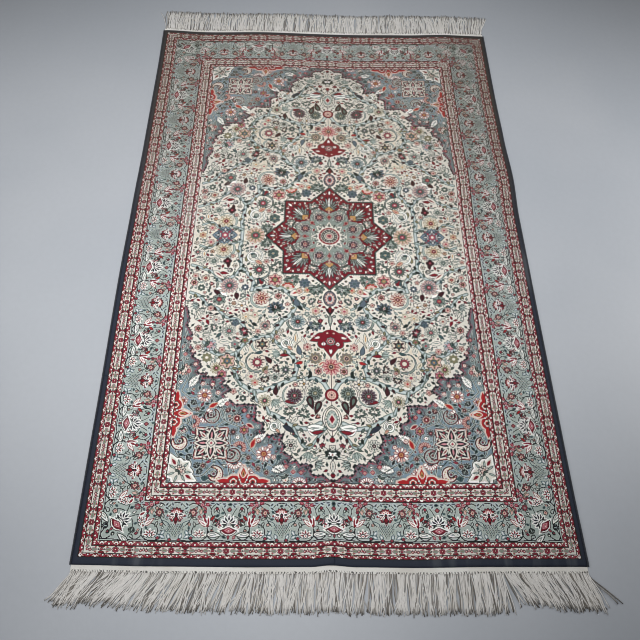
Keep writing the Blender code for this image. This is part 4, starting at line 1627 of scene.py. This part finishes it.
# Cells of the pile's mesh, each four knots by four, and the pieces that the pile is cut into
CELL = 4
CELLS_ACROSS = 2 * KNOTS_ACROSS // CELL
CELLS_ALONG = 2 * KNOTS_ALONG // CELL
PIECES_ACROSS, PIECES_ALONG = 2, 4
SHADES = 32

# Fringe strands: (place across the rug, lean towards +X in degrees, length in metres)
NEAR_STRANDS = (
    (-0.610, -27, 0.082),
    (-0.560, -29, 0.083),
    (-0.545, -42, 0.082),
    (-0.480, -42, 0.086),
    (-0.380, -30, 0.088),
    (-0.250, -19, 0.086),
    (-0.120, -7, 0.085),
    (0.050, -3, 0.086),
    (0.250, -2, 0.086),
    (0.370, 3, 0.086),
    (0.405, 8, 0.084),
    (0.412, 36, 0.076),
    (0.450, 32, 0.078),
    (0.510, 25, 0.084),
    (0.610, 19, 0.086),
)
FAR_STRANDS = (
    (-0.610, -4, 0.100),
    (-0.480, -2, 0.103),
    (-0.300, 1, 0.099),
    (-0.120, 3, 0.103),
    (0.100, 2, 0.100),
    (0.300, 3, 0.104),
    (0.450, 3, 0.100),
    (0.610, 9, 0.099),
)
STRAND_PITCH = 0.0025
STRAND_RADIUS = 0.00125
STRAND_STEPS = 11
SELVEDGE_STEPS = 122
STRIP_STEPS = 160
TUBE_SIDES = 6


def eased(table, at, column=1):
    """A smooth value between the rows of a table whose first column is the place."""
    places = np.array([row[0] for row in table], float)
    values = np.array([row[column] for row in table], float)
    low = np.clip(np.searchsorted(places, at) - 1, 0, len(places) - 2)
    share = np.clip((at - places[low]) / (places[low + 1] - places[low]), 0, 1)
    return values[low] + (values[low + 1] - values[low]) * share * share * (3 - 2 * share)


def pile_place(across, along):
    """A place on the pile in metres. across and along run from 0 to 1."""
    x = (across - 0.5) * RUG_WIDTH
    y = (along - 0.5) * PILE_LENGTH
    half = RUG_WIDTH / 2 - SELVEDGE_WIDTH - SEAM_GAP
    left = -half - eased(EDGE_STRAY_MM["left"], y) / 1000
    right = half + eased(EDGE_STRAY_MM["right"], y) / 1000
    near = -PILE_LENGTH / 2 - eased(EDGE_STRAY_MM["near"], x) / 1000
    far = PILE_LENGTH / 2 + eased(EDGE_STRAY_MM["far"], x) / 1000
    return left + across * (right - left), near + along * (far - near)


def ridge_height(x, y):
    rise = np.zeros(np.shape(x))
    for place, end, height, half_width, reach in RIDGES:
        rise = rise + height * np.exp(
            -(((x - place) / half_width) ** 2) - ((PILE_LENGTH / 2 - end * y) / reach) ** 2
        )
    return rise


def mesh_of(name, points, quads, smooth):
    """A mesh of four-sided faces. smooth says which faces shade smoothly."""
    mesh = bpy.data.meshes.new(name)
    mesh.vertices.add(len(points))
    mesh.vertices.foreach_set("co", np.ascontiguousarray(points, np.float32).ravel())
    mesh.loops.add(quads.size)
    mesh.loops.foreach_set("vertex_index", np.ascontiguousarray(quads, np.int32).ravel())
    mesh.polygons.add(len(quads))
    mesh.polygons.foreach_set("loop_start", np.arange(0, quads.size, 4, dtype=np.int32))
    mesh.polygons.foreach_set("use_smooth", np.ascontiguousarray(smooth, bool))
    mesh.update(calc_edges=True)
    return mesh


def add_uv(mesh, name, places):
    layer = mesh.uv_layers.new(name=name)
    layer.data.foreach_set("uv", np.ascontiguousarray(places, np.float32).ravel())


def add_piece(name, mesh, finish, node):
    made = bpy.data.objects.new(name, mesh)
    bpy.context.collection.objects.link(made)
    mesh.materials.append(finish)
    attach(made, "root")
    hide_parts(node)
    return made


def whole_design():
    """The knots of the whole rug, from its near left corner: the quarter, mirrored both ways."""
    quarter = draw_rug()
    half = np.concatenate([quarter[:, ::-1], quarter], 1)
    return np.concatenate([half[::-1], half], 0)


def pile_grid():
    """Where the corners of the pile's cells lie, and how high the cloth stands there."""
    across = np.linspace(-1, 1, CELLS_ACROSS + 1)
    across = across + DESIGN_SHIFT / (RUG_WIDTH / 2) * (1 - across**4)
    along = np.linspace(0, 1, CELLS_ALONG + 1)
    x, y = pile_place(*np.meshgrid(across / 2 + 0.5, along))
    height = PILE_THICKNESS + ridge_height(x, y)
    for rim in (height[0], height[-1], height[:, 0], height[:, -1]):
        rim *= RIM_SHARE
    return x, y, height


def pile_piece(number, columns, rows, grid, codes, finish):
    """One closed slab of the pile, with the knots of its cells on its faces."""
    x, y, height = (part[rows.start : rows.stop + 1, columns.start : columns.stop + 1] for part in grid)
    wide, long = x.shape[1] - 1, x.shape[0] - 1
    count = x.size
    top = np.stack([x, y, height], -1).reshape(-1, 3)
    foot = np.stack([x, y, np.zeros_like(x)], -1).reshape(-1, 3)
    at = np.arange(count).reshape(x.shape)
    up = np.stack([at[:-1, :-1], at[:-1, 1:], at[1:, 1:], at[1:, :-1]], -1).reshape(-1, 4)
    down = up[:, ::-1] + count
    walls = []
    for line in (at[0], at[:, -1], at[-1, ::-1], at[::-1, 0]):
        walls.append(np.stack([line[:-1] + count, line[1:] + count, line[1:], line[:-1]], -1))
    quads = np.concatenate([up, down, *walls])
    smooth = np.arange(len(quads)) < 2 * len(up)
    mesh = mesh_of(f"pile_{number}", np.concatenate([top, foot]), quads, smooth)

    u, v = np.meshgrid(np.arange(wide + 1.0), np.arange(long + 1.0))
    u, v = np.tile(u.ravel(), 2), np.tile(v.ravel(), 2)
    corner = quads.ravel()
    knots = np.stack([(u[corner] + columns.start) * CELL, (v[corner] + rows.start) * CELL], -1)
    inward = knots.reshape(-1, 4, 2)
    middle = inward[: len(up)].mean(1).mean(0)
    inward[2 * len(up) :] += np.sign(middle - inward[2 * len(up) :]) * 0.5
    add_uv(mesh, "weave", knots)

    share = long / wide
    top_uv = np.stack([0.004 + 0.992 * u / wide, 0.004 + 0.992 * share * v / long], -1)[corner]
    under_uv = np.stack([0.004 + 0.248 * u / wide, 0.805 + 0.248 * share * v / long], -1)[corner]
    bake = top_uv.reshape(-1, 4, 2)
    bake[len(up) : 2 * len(up)] = under_uv.reshape(-1, 4, 2)[len(up) : 2 * len(up)]
    first = 2 * len(up)
    for k, wall in enumerate(walls):
        steps = np.linspace(0.27, 0.99, len(wall) + 1)
        low = 0.81 + 0.04 * k
        band = bake[first : first + len(wall)]
        band[..., 0] = np.stack([steps[:-1], steps[1:], steps[1:], steps[:-1]], -1)
        band[..., 1] = low, low, low + 0.02, low + 0.02
        first += len(wall)
    add_uv(mesh, "OFBake", bake)

    for row in range(CELL):
        part = codes[row][rows, columns]
        edges = [part[0], part[:, -1], part[-1, ::-1], part[::-1, 0]]
        values = np.concatenate([part.ravel(), part.ravel(), *edges])
        layer = mesh.attributes.new(f"knots_{row}", "FLOAT", "FACE")
        layer.data.foreach_set("value", values.astype(np.float32))
    made = add_piece(f"pile_{number}", mesh, finish, "pile_body")
    size = (float(np.ptp(x)), float(np.ptp(y)))


def lay_pile(finish):
    design = whole_design().astype(np.float64)
    cells = design.reshape(CELLS_ALONG, CELL, CELLS_ACROSS, CELL)
    weights = SHADES ** np.arange(CELL)
    codes = [(cells[:, row] * weights).sum(-1) for row in range(CELL)]
    grid = pile_grid()
    wide, long = CELLS_ACROSS // PIECES_ACROSS, CELLS_ALONG // PIECES_ALONG
    number = 1
    for j in range(PIECES_ALONG):
        for i in range(PIECES_ACROSS):
            columns = slice(i * wide, (i + 1) * wide)
            rows = slice(j * long, (j + 1) * long)
            pile_piece(number, columns, rows, grid, codes, finish)
            number += 1


def tube(centres, sides, heights, around):
    """Points round a line. sides and heights are its half widths across and up."""
    heading = np.gradient(centres[..., :2], axis=-2)
    heading /= np.linalg.norm(heading, axis=-1, keepdims=True)
    across = np.stack([heading[..., 1], -heading[..., 0]], -1)[..., None, :]
    angle = np.arange(around) / around * 2 * np.pi + np.pi / around
    flat = centres[..., None, :2] + across * (np.cos(angle) * sides[..., None])[..., None]
    up = centres[..., None, 2] + np.sin(angle) * heights[..., None]
    return np.concatenate([flat, up[..., None]], -1)


def tube_quads(lines, steps, around):
    """Faces of the walls of that many tubes, and of their ends, which close in two faces each."""
    ring = np.arange(around)
    after = (ring + 1) % around
    wall = np.stack([ring, ring + around, after + around, after], -1)
    walls = (wall[None] + (np.arange(steps - 1) * around)[:, None, None]).reshape(-1, 4)
    start = np.array([[0, 1, 2, 3], [0, 3, 4, 5]])
    end = start[:, ::-1] + (steps - 1) * around
    one = np.concatenate([walls, start, end])
    return (one[None] + (np.arange(lines) * steps * around)[:, None, None]).reshape(-1, 4), len(walls)


def selvedge_pieces(finish):
    """Yarn wrapped over the outer warps, in four lengths a side."""
    for name, sign in (("left", -1), ("right", 1)):
        for part in range(4):
            along = np.linspace(part / 4, (part + 1) / 4, SELVEDGE_STEPS)
            x, y = pile_place(np.full(SELVEDGE_STEPS, 0.0 if sign < 0 else 1.0), along)
            height = (SELVEDGE_HEIGHT + ridge_height(x, y)) / 2
            lump = 1 + 0.05 * np.sin(y * 410) * np.sin(y * 173 + sign)
            middle = x + sign * (SEAM_GAP + SELVEDGE_WIDTH / 2)
            centres = np.stack([middle, y, height], -1)
            half_wide = SELVEDGE_WIDTH / 2 * lump
            points = tube(centres[None], half_wide[None], (height * lump)[None], TUBE_SIDES)
            quads, wall = tube_quads(1, SELVEDGE_STEPS, TUBE_SIDES)
            smooth = np.arange(len(quads)) < wall
            mesh = mesh_of(f"selvedge_{name}_{part + 1}", points.reshape(-1, 3), quads, smooth)
            length = np.repeat(y, TUBE_SIDES)
            around = np.tile(np.arange(TUBE_SIDES) / TUBE_SIDES, SELVEDGE_STEPS)
            add_uv(mesh, "wrap", np.stack([length, around], -1)[quads.ravel()])
            add_piece(f"selvedge_{name}_{part + 1}", mesh, finish, f"selvedge_{name}")


def end_line(sign, x):
    """The pile's end edge at x."""
    across = np.clip(x / RUG_WIDTH + 0.5, 0, 1)
    for _ in range(4):
        at_x, y = pile_place(across, np.full(np.shape(x), 0.0 if sign < 0 else 1.0))
        across = across + (x - at_x) / RUG_WIDTH
    return y


def end_reach(sign):
    """Where the strip starts and stops across the rug."""
    x, _ = pile_place(np.array((0.0, 1.0)), np.full(2, 0.0 if sign < 0 else 1.0))
    return float(x[0]), float(x[1])


def strip_piece(end, sign, part, finish):
    """Half of a flat-woven end strip."""
    first, last = end_reach(sign)
    middle = (first + last) / 2
    span = (first, middle) if part == 1 else (middle, last)
    x = np.linspace(*span, STRIP_STEPS)
    inner = end_line(sign, x) + sign * SEAM_GAP
    rings = []
    profile = ((0.0, 0.0), (1.0, 0.0), (1.0, 0.7), (0.97, 1.0), (0.5, 1.08), (0.0, 1.0))
    for out, up in profile:
        wave = 1 + 0.10 * np.sin(x * 190) * np.sin(x * 71)
        rings.append(np.stack([x, inner + sign * out * STRIP_WIDTH, up * STRIP_THICKNESS * wave], -1))
    points = np.stack(rings, 1)
    quads, _ = tube_quads(1, STRIP_STEPS, TUBE_SIDES)
    if sign > 0:
        quads = quads[:, ::-1]
    mesh = mesh_of(f"strip_{end}_{part}", points.reshape(-1, 3), quads, np.arange(len(quads)) < 0)
    out = np.tile([row[0] * STRIP_WIDTH for row in profile], STRIP_STEPS)
    add_uv(mesh, "cloth", np.stack([np.repeat(x, TUBE_SIDES), out], -1)[quads.ravel()])
    made = add_piece(f"strip_{end}_{part}", mesh, finish, f"end_fringe_{end}")
    span[1] - span[0]


def strand_piece(end, sign, part, table, seed, finish):
    """Half of the strands of one end: a bed of them, with some that lie across the others."""
    chance = np.random.default_rng(seed)
    first, last = end_reach(sign)
    middle = (first + last) / 2
    low, high = (first + 0.0012, middle) if part == 1 else (middle, last - 0.0012)
    bed = np.arange(low + STRAND_PITCH / 2, high, STRAND_PITCH)
    roots = np.concatenate([bed, chance.uniform(low, high, int(len(bed) * 1.25))])
    is_bed = np.arange(len(roots)) < len(bed)
    count = len(roots)
    roots = roots + chance.uniform(-0.4, 0.4, count) * 0.001

    lean = np.radians(eased(table, roots)) + chance.normal(0, radians(4.5), count)
    lean[~is_bed] += chance.normal(0, radians(5), (~is_bed).sum())
    length = eased(table, roots, 2) * (1 + chance.normal(0, 0.035, count))
    if sign < 0 and part == 2:
        stray = [len(bed) - 1, len(bed) - 2]
        lean[stray] = np.radians((47, 41))
        length[stray] = (0.096, 0.090)
    share = np.linspace(0, 1, STRAND_STEPS)
    clump = np.sin(roots * 210)[:, None] * radians(5) * np.sin(share * 3)
    wander = np.zeros((count, STRAND_STEPS))
    for wave in (1, 2, 3):
        phase = chance.uniform(0, 2 * np.pi, (count, 1))
        size = chance.normal(0, radians(10 / wave), (count, 1))
        wander += size * np.sin(share * np.pi * wave + phase) * share
    heading = lean[:, None] * (0.35 + 0.65 * np.minimum(1, share * 4)) + wander + clump
    step = (length / (STRAND_STEPS - 1))[:, None]
    x = roots[:, None] + np.cumsum(np.sin(heading) * step, 1) - np.sin(heading[:, :1]) * step
    y = np.cumsum(np.cos(heading) * step, 1) - np.cos(heading[:, :1]) * step
    y = (end_line(sign, roots) + sign * (SEAM_GAP + STRIP_WIDTH - 0.0006))[:, None] + sign * y
    radius = STRAND_RADIUS * (1 + 0.12 * chance.normal(0, 1, count).clip(-2, 2))[:, None]
    radius = radius * np.interp(share, (0, 0.04, 0.12, 0.85, 1), (1.1, 1.35, 1.0, 1.0, 0.85))
    lift = np.where(is_bed, chance.uniform(0, 0.0005, count), chance.uniform(0.0014, 0.0028, count))[:, None]
    lift = lift * np.sin(np.clip(share * 1.15, 0, 1) * np.pi) ** 0.7
    centres = np.stack([x, y, radius + lift + 0.00005], -1)
    points = tube(centres, radius, radius, TUBE_SIDES)
    quads, wall = tube_quads(count, STRAND_STEPS, TUBE_SIDES)
    one = wall + 4
    smooth = np.tile(np.arange(one) < wall, count)
    mesh = mesh_of(f"strands_{end}_{part}", points.reshape(-1, 3), quads, smooth)

    per = STRAND_STEPS * TUBE_SIDES
    strand = np.repeat(np.arange(count), one)[:, None]
    within = quads - strand * per
    step_of, side_of = within // TUBE_SIDES, (within % TUBE_SIDES).astype(float)
    cap = ~smooth
    wraps = smooth[:, None] & (side_of.max(1, keepdims=True) == TUBE_SIDES - 1)
    side_of = np.where(wraps & (side_of == 0), float(TUBE_SIDES), side_of)
    along = step_of / (STRAND_STEPS - 1)
    u = (strand + 0.08 + 0.84 * side_of / TUBE_SIDES) / count
    rise = np.tile([[0.0, 0.0, 0.006, 0.006], [0.007, 0.007, 0.012, 0.012]] * 2, (count, 1))
    v = 0.03 + 0.93 * along
    v[cap] += rise * np.where(along[cap] > 0.5, 1, -1)
    u[cap] = (strand[cap] + (0.1, 0.9, 0.9, 0.1)) / count
    add_uv(mesh, "strand", np.stack([along * 0.09, side_of / TUBE_SIDES], -1))
    add_uv(mesh, "OFBake", np.stack([u, v], -1))
    # Painted shade: the bed strands, which lie under the others, get darker tones at random, and a few
    # strands are made dark. Both stand in for the shade between and under the strands, beside the strands'
    # own random tone.
    tone = mesh.attributes.new("tone", "FLOAT", "FACE")
    shade = np.where(is_bed, chance.uniform(0, 0.7, count), chance.uniform(0.9, 1, count))
    shade[chance.random(count) < 0.06] = 0.1
    tone.data.foreach_set("value", np.repeat(shade, one).astype(np.float32))
    add_piece(f"strands_{end}_{part}", mesh, finish, f"end_fringe_{end}")


# Finishes


class Wire:
    """A socket of a material. Arithmetic on it adds Math nodes."""

    def __init__(self, finish, socket):
        self.finish, self.socket = finish, socket

    def maths(self, operation, *values):
        return self.finish.node("Math", {"operation": operation}, dict(enumerate(values)))

    def __add__(self, other):
        return self.maths("ADD", self, other)

    def __sub__(self, other):
        return self.maths("SUBTRACT", self, other)

    def __rsub__(self, other):
        return self.maths("SUBTRACT", other, self)

    def __mul__(self, other):
        return self.maths("MULTIPLY", self, other)

    def __truediv__(self, other):
        return self.maths("DIVIDE", self, other)

    def __mod__(self, other):
        return self.maths("FLOORED_MODULO", self, other)

    def __lt__(self, other):
        return self.maths("LESS_THAN", self, other)

    def __gt__(self, other):
        return self.maths("GREATER_THAN", self, other)

    __radd__, __rmul__ = __add__, __mul__


class Finish:
    """A material being made. node adds any node and gives back one of its outputs, if it has any."""

    def __init__(self, name):
        self.made = bpy.data.materials.new(name)
        self.made.use_nodes = True
        self.tree = self.made.node_tree
        self.tree.nodes.clear()

    def node(self, kind, settings=None, values=None, output=0):
        made = self.tree.nodes.new("ShaderNode" + kind)
        for name, value in (settings or {}).items():
            if name == "stops":
                ramp = made.color_ramp.elements
                while len(ramp) < len(value):
                    ramp.new(0.5)
                for stop, (place, colour) in zip(ramp, value):
                    stop.position, stop.color = place, colour
            elif name == "steps":
                made.color_ramp.interpolation = value
            else:
                setattr(made, name, value)
        for name, value in (values or {}).items():
            if isinstance(value, Wire):
                self.tree.links.new(value.socket, made.inputs[name])
            else:
                made.inputs[name].default_value = value
        return None if output is None else Wire(self, made.outputs[output])

    def noise(self, place, scale, detail=2.0, rough=0.5):
        values = {"Vector": place, "Scale": scale, "Detail": detail, "Roughness": rough}
        return self.node("TexNoise", {}, values, "Fac")

    def mixed(self, share, first, second):
        return self.node("Mix", {"data_type": "RGBA"}, {0: share, 6: first, 7: second}, 2)

    def shaded(self, colour, tone):
        return self.node("VectorMath", {"operation": "SCALE"}, {0: colour, 3: tone})

    def stretched(self, place, *scale):
        return self.node("VectorMath", {"operation": "MULTIPLY"}, {0: place, 1: scale})

    def ranged(self, value, low, high, start=0.0, stop=1.0):
        """Goes smoothly from start to stop as the value goes from low to high."""
        values = {"Value": value, "From Min": low, "From Max": high, "To Min": start, "To Max": stop}
        return self.node("MapRange", {"interpolation_type": "SMOOTHSTEP"}, values)

    def place(self):
        return self.node("TexCoord", {}, {}, "Object")

    def uv(self, name):
        return self.node("UVMap", {"uv_map": name})

    def parts(self, vector):
        return [self.node("SeparateXYZ", {}, {0: vector}, axis) for axis in range(3)]

    def bump(self, height, distance, strength=1.0):
        values = {"Height": height, "Distance": distance, "Strength": strength}
        return self.node("Bump", {}, values)

    def cover(self, colour, roughness, normal, others):
        values = {"Base Color": colour, "Roughness": roughness, "Normal": normal, **others}
        surface = self.node("BsdfPrincipled", {}, values)
        self.node("OutputMaterial", {}, {"Surface": surface}, None)
        return self.made


def linear(colour):
    """A colour on a 0 to 255 scale as the shader wants it."""
    shares = [part / 255 for part in colour]
    return (*[s / 12.92 if s <= 0.04045 else ((s + 0.055) / 1.055) ** 2.4 for s in shares], 1.0)


def silk_pile_finish():
    silk = Finish("silk_pile")
    place = silk.place()
    u, v, _ = silk.parts(silk.uv("weave"))
    column = u.maths("FLOOR", u)
    row = v.maths("FLOOR", v)
    column_in_cell, row_in_cell = column % CELL, row % CELL
    code, divisor = 0.0, 0.0
    for k in range(CELL):
        knots = silk.node("Attribute", {"attribute_name": f"knots_{k}"}, {}, "Fac")
        code = code + knots * row_in_cell.maths("COMPARE", row_in_cell, float(k), 0.5)
        in_column = column_in_cell.maths("COMPARE", column_in_cell, float(k), 0.5)
        divisor = divisor + in_column * (1.0 / SHADES**k)
    shifted = (code + 0.5) * divisor
    yarn = shifted.maths("FLOOR", shifted) % SHADES
    stops = [(yarn / SHADES, linear(colour)) for yarn, colour in YARNS.items()]
    dyed = silk.node("ValToRGB", {"steps": "CONSTANT", "stops": stops}, {0: (yarn + 0.5) / SHADES})

    knot = silk.node("CombineXYZ", {}, {0: column, 1: row, 2: 0.0})
    grain = silk.node("TexWhiteNoise", {"noise_dimensions": "2D"}, {"Vector": knot}, "Value")
    lay = silk.noise(silk.stretched(place, 5.0, 2.2, 1.0), 1.6, 3.0)
    abrash = silk.noise(silk.stretched(place, 1.2, 26.0, 1.0), 1.0, 2.0)
    tone = 0.88 + grain * 0.16 + (lay - 0.5) * 0.22 + (abrash - 0.5) * 0.16

    x, y, _ = silk.parts(place)
    across = x.maths("ABSOLUTE", x)
    # Painted shade: the borders and the far rim darken towards the far end, the long edges towards the near
    # end, and the right side throughout. This stands in for how the light falls across the silk pile, not for
    # its dye.
    away = x.maths("MAXIMUM", silk.ranged(across, 0.28, 0.42), silk.ranged(y, 0.62, 0.75))
    painted_pile_shade = away * silk.ranged(y, -0.1, 0.6, 0.0, 0.14)
    painted_pile_shade = painted_pile_shade + silk.ranged(across, 0.42, 0.47) * silk.ranged(y, -0.4, 0.2, 0.0, 0.13)
    painted_pile_shade = painted_pile_shade + silk.ranged(x, 0.25, 0.55, 0.0, 0.12)
    colour = silk.shaded(dyed, tone - painted_pile_shade)
    # Painted light: the far half of the pile drifts greyer and warmer, standing in for the sheen that the
    # silk pile shows towards that end.
    far_half_painted_light = silk.ranged(y, -0.3, 0.7, 0.0, 0.09)
    colour = silk.mixed(far_half_painted_light, colour, linear((176, 158, 126)))
    # Painted sheen: pale streaks on the near left of the pile are mixed into the colour as painted
    # highlights. The same mask also lowers the roughness there.
    sheen_streak = silk.noise(silk.stretched(place, 34.0, 4.0, 1.0), 1.0, 3.0)
    patch = silk.ranged(silk.noise(place, 2.6, 2.0), 0.46, 0.7) * silk.ranged(x, -0.2, -0.45, 0.25, 1.0)
    patch = patch * silk.ranged(y, 0.5, 0.0)
    painted_sheen = silk.ranged(sheen_streak, 0.45, 0.75) * patch * 0.30
    colour = silk.mixed(painted_sheen, colour, linear((206, 212, 212)))

    tufts = silk.noise(place, 900.0, 2.0)
    nap = silk.noise(silk.stretched(place, 60.0, 14.0, 1.0), 1.0, 3.0)
    relief = silk.bump(tufts * 0.5 + grain * 0.5 + nap * 1.2, 0.0006, 0.7)
    return silk.cover(colour, 0.62 - painted_sheen * 0.4, relief, {"Specular IOR Level": 0.22})


def selvedge_finish():
    yarn = Finish("selvedge_yarn")
    length, _, _ = yarn.parts(yarn.uv("wrap"))
    wraps = length.maths("SINE", length * 5200.0)
    fibres = yarn.noise(yarn.place(), 700.0)
    colour = yarn.mixed(yarn.ranged(fibres, 0.35, 0.7), linear((36, 40, 50)), linear((70, 74, 84)))
    return yarn.cover(colour, 0.8, yarn.bump(wraps + fibres, 0.0004, 0.8), {"Sheen Weight": 0.15})


def strip_finish():
    cloth = Finish("strip_cloth")
    place = cloth.place()
    along, out, _ = cloth.parts(cloth.uv("cloth"))
    weave = along.maths("SINE", along * 5200.0) * along.maths("SINE", out * 5200.0)
    soil = cloth.noise(place, 9.0, 3.0)
    colour = cloth.mixed(cloth.ranged(soil, 0.35, 0.75), linear((252, 250, 244)), linear((236, 232, 224)))
    # Painted shadow: short dark dashes along the strip's outer edge stand for the shade in the gaps between
    # the fringe's knots. depth sets how dark each dash is.
    ragged = cloth.noise(place, 90.0, 2.0)
    count = along * 150.0 + ragged * 2.4
    gap = (count % 1.0 < 0.42) * (out > STRIP_WIDTH - 0.0022 - ragged * 0.0056)
    depth = cloth.ranged(cloth.noise(place, 60.0), 0.36, 0.56, 0.45, 0.95)
    colour = cloth.mixed(gap * depth, colour, linear((70, 68, 66)))
    relief = cloth.bump(weave + cloth.noise(place, 260.0), 0.0003, 0.8)
    return cloth.cover(colour, 0.85, relief, {"Sheen Weight": 0.1})


def strand_finish():
    cotton = Finish("warp_yarn")
    along, around, _ = cotton.parts(cotton.uv("strand"))
    tone = cotton.node("Attribute", {"attribute_name": "tone"}, {}, "Fac")
    turn = along * 520.0 + around
    twist = turn.maths("SINE", turn * (2 * pi))
    # The tone mixes each strand between a shaded and a lit colour. Its low end is painted shade for the
    # strands that lie underneath.
    colour = cotton.mixed(tone, linear((112, 105, 97)), linear((255, 252, 248)))
    aged = cotton.ranged(cotton.noise(cotton.place(), 16.0, 3.0), 0.42, 0.72)
    colour = cotton.mixed(aged * 0.15, colour, linear((214, 204, 184)))
    # Painted shadow: the last part of each strand darkens towards its tip, more on the darker strands.
    tip = cotton.ranged(along, 0.074, 0.09) * cotton.ranged(tone, 0.95, 0.8, 0.25, 0.75)
    colour = cotton.mixed(tip, colour, linear((86, 82, 76)))
    # Painted shade: the colour darkens a little in the grooves of the twist.
    colour = cotton.shaded(colour, 0.95 + twist * 0.05)
    return cotton.cover(colour, 0.85, cotton.bump(twist, 0.0004, 0.8), {"Sheen Weight": 0.1})


def floor_finish():
    floor = Finish("floor_paint")
    place = floor.place()
    cloud = floor.noise(place, 1.3, 3.0)
    fine = floor.noise(place, 60.0, 3.0)
    colour = floor.mixed(floor.ranged(cloud, 0.3, 0.7), linear((180, 185, 192)), linear((188, 192, 198)))
    return floor.cover(floor.shaded(colour, 0.97 + fine * 0.06), 0.42, floor.bump(fine, 0.0004, 0.4), {})


def studio():
    """The floor, the lights and the camera."""
    half = 9.0
    mesh = bpy.data.meshes.new("floor")
    corners = [(x * half, y * half, -0.0004) for x, y in ((-1, -1), (1, -1), (1, 1), (-1, 1))]
    mesh.from_pydata(corners, [], [(0, 1, 2, 3)])
    mesh.materials.append(floor_finish())
    floor = bpy.data.objects.new("floor", mesh)
    bpy.context.collection.objects.link(floor)

    world = bpy.data.worlds.new("studio")
    world.use_nodes = True
    world.node_tree.nodes["Background"].inputs["Color"].default_value = (0.93, 0.96, 1.0, 1)
    world.node_tree.nodes["Background"].inputs["Strength"].default_value = 0.05
    bpy.context.scene.world = world

    # Name, kind, place, what it points at, its width or its cone in degrees, watts
    lamps = (
        ("overhead", "SPOT", (0.0, 0.32, 3.0), (0.0, 0.32, 0.0), 67.0, 220.0),
        ("near_end", "SPOT", (-0.24, -0.6, 3.0), (-0.24, -0.6, 0.0), 41.0, 102.0),
        ("window_left", "AREA", (-1.6, 0.25, 1.3), (-0.75, 0.2, 0.0), 1.0, 10.0),
        ("soft_right", "AREA", (1.8, 0.1, 0.9), (1.4, 0.1, 0.0), 0.8, 9.5),
        ("front", "AREA", (-0.7, -1.9, 1.3), (-0.05, -1.0, 0.0), 0.4, 6.3),
    )
    for name, kind, place, aim, width, watts in lamps:
        light = bpy.data.lights.new(name, kind)
        light.energy = watts
        if kind == "SPOT":
            light.spot_size, light.spot_blend, light.shadow_soft_size = radians(width), 1.0, 0.5
        else:
            light.size = width
        lamp = bpy.data.objects.new(name, light)
        bpy.context.collection.objects.link(lamp)
        lamp.location = place
        away = Vector(aim) - Vector(place)
        lamp.rotation_euler = away.to_track_quat("-Z", "Y").to_euler()

    lens = bpy.data.cameras.new("camera")
    lens.lens, lens.sensor_width = 37.2, 36.0
    lens.shift_x, lens.shift_y = 0.0111, -0.0005
    camera = bpy.data.objects.new("camera", lens)
    bpy.context.collection.objects.link(camera)
    camera.location = (-0.075, -1.249, 1.632)
    camera.rotation_euler = [radians(angle) for angle in (30.25, -1.21, 0.02)]
    bpy.context.scene.camera = camera
    bpy.context.scene.view_settings.view_transform = "Standard"
    bpy.context.scene.cycles.filter_width = 1.0


def lay_rug():
    lay_pile(silk_pile_finish())
    selvedge_pieces(selvedge_finish())
    cloth, cotton = strip_finish(), strand_finish()
    for end, sign, table in (("near", -1, NEAR_STRANDS), ("far", 1, FAR_STRANDS)):
        for part in (1, 2):
            strip_piece(end, sign, part, cloth)
            strand_piece(end, sign, part, table, 20 + part + sign, cotton)


studio()
lay_rug()
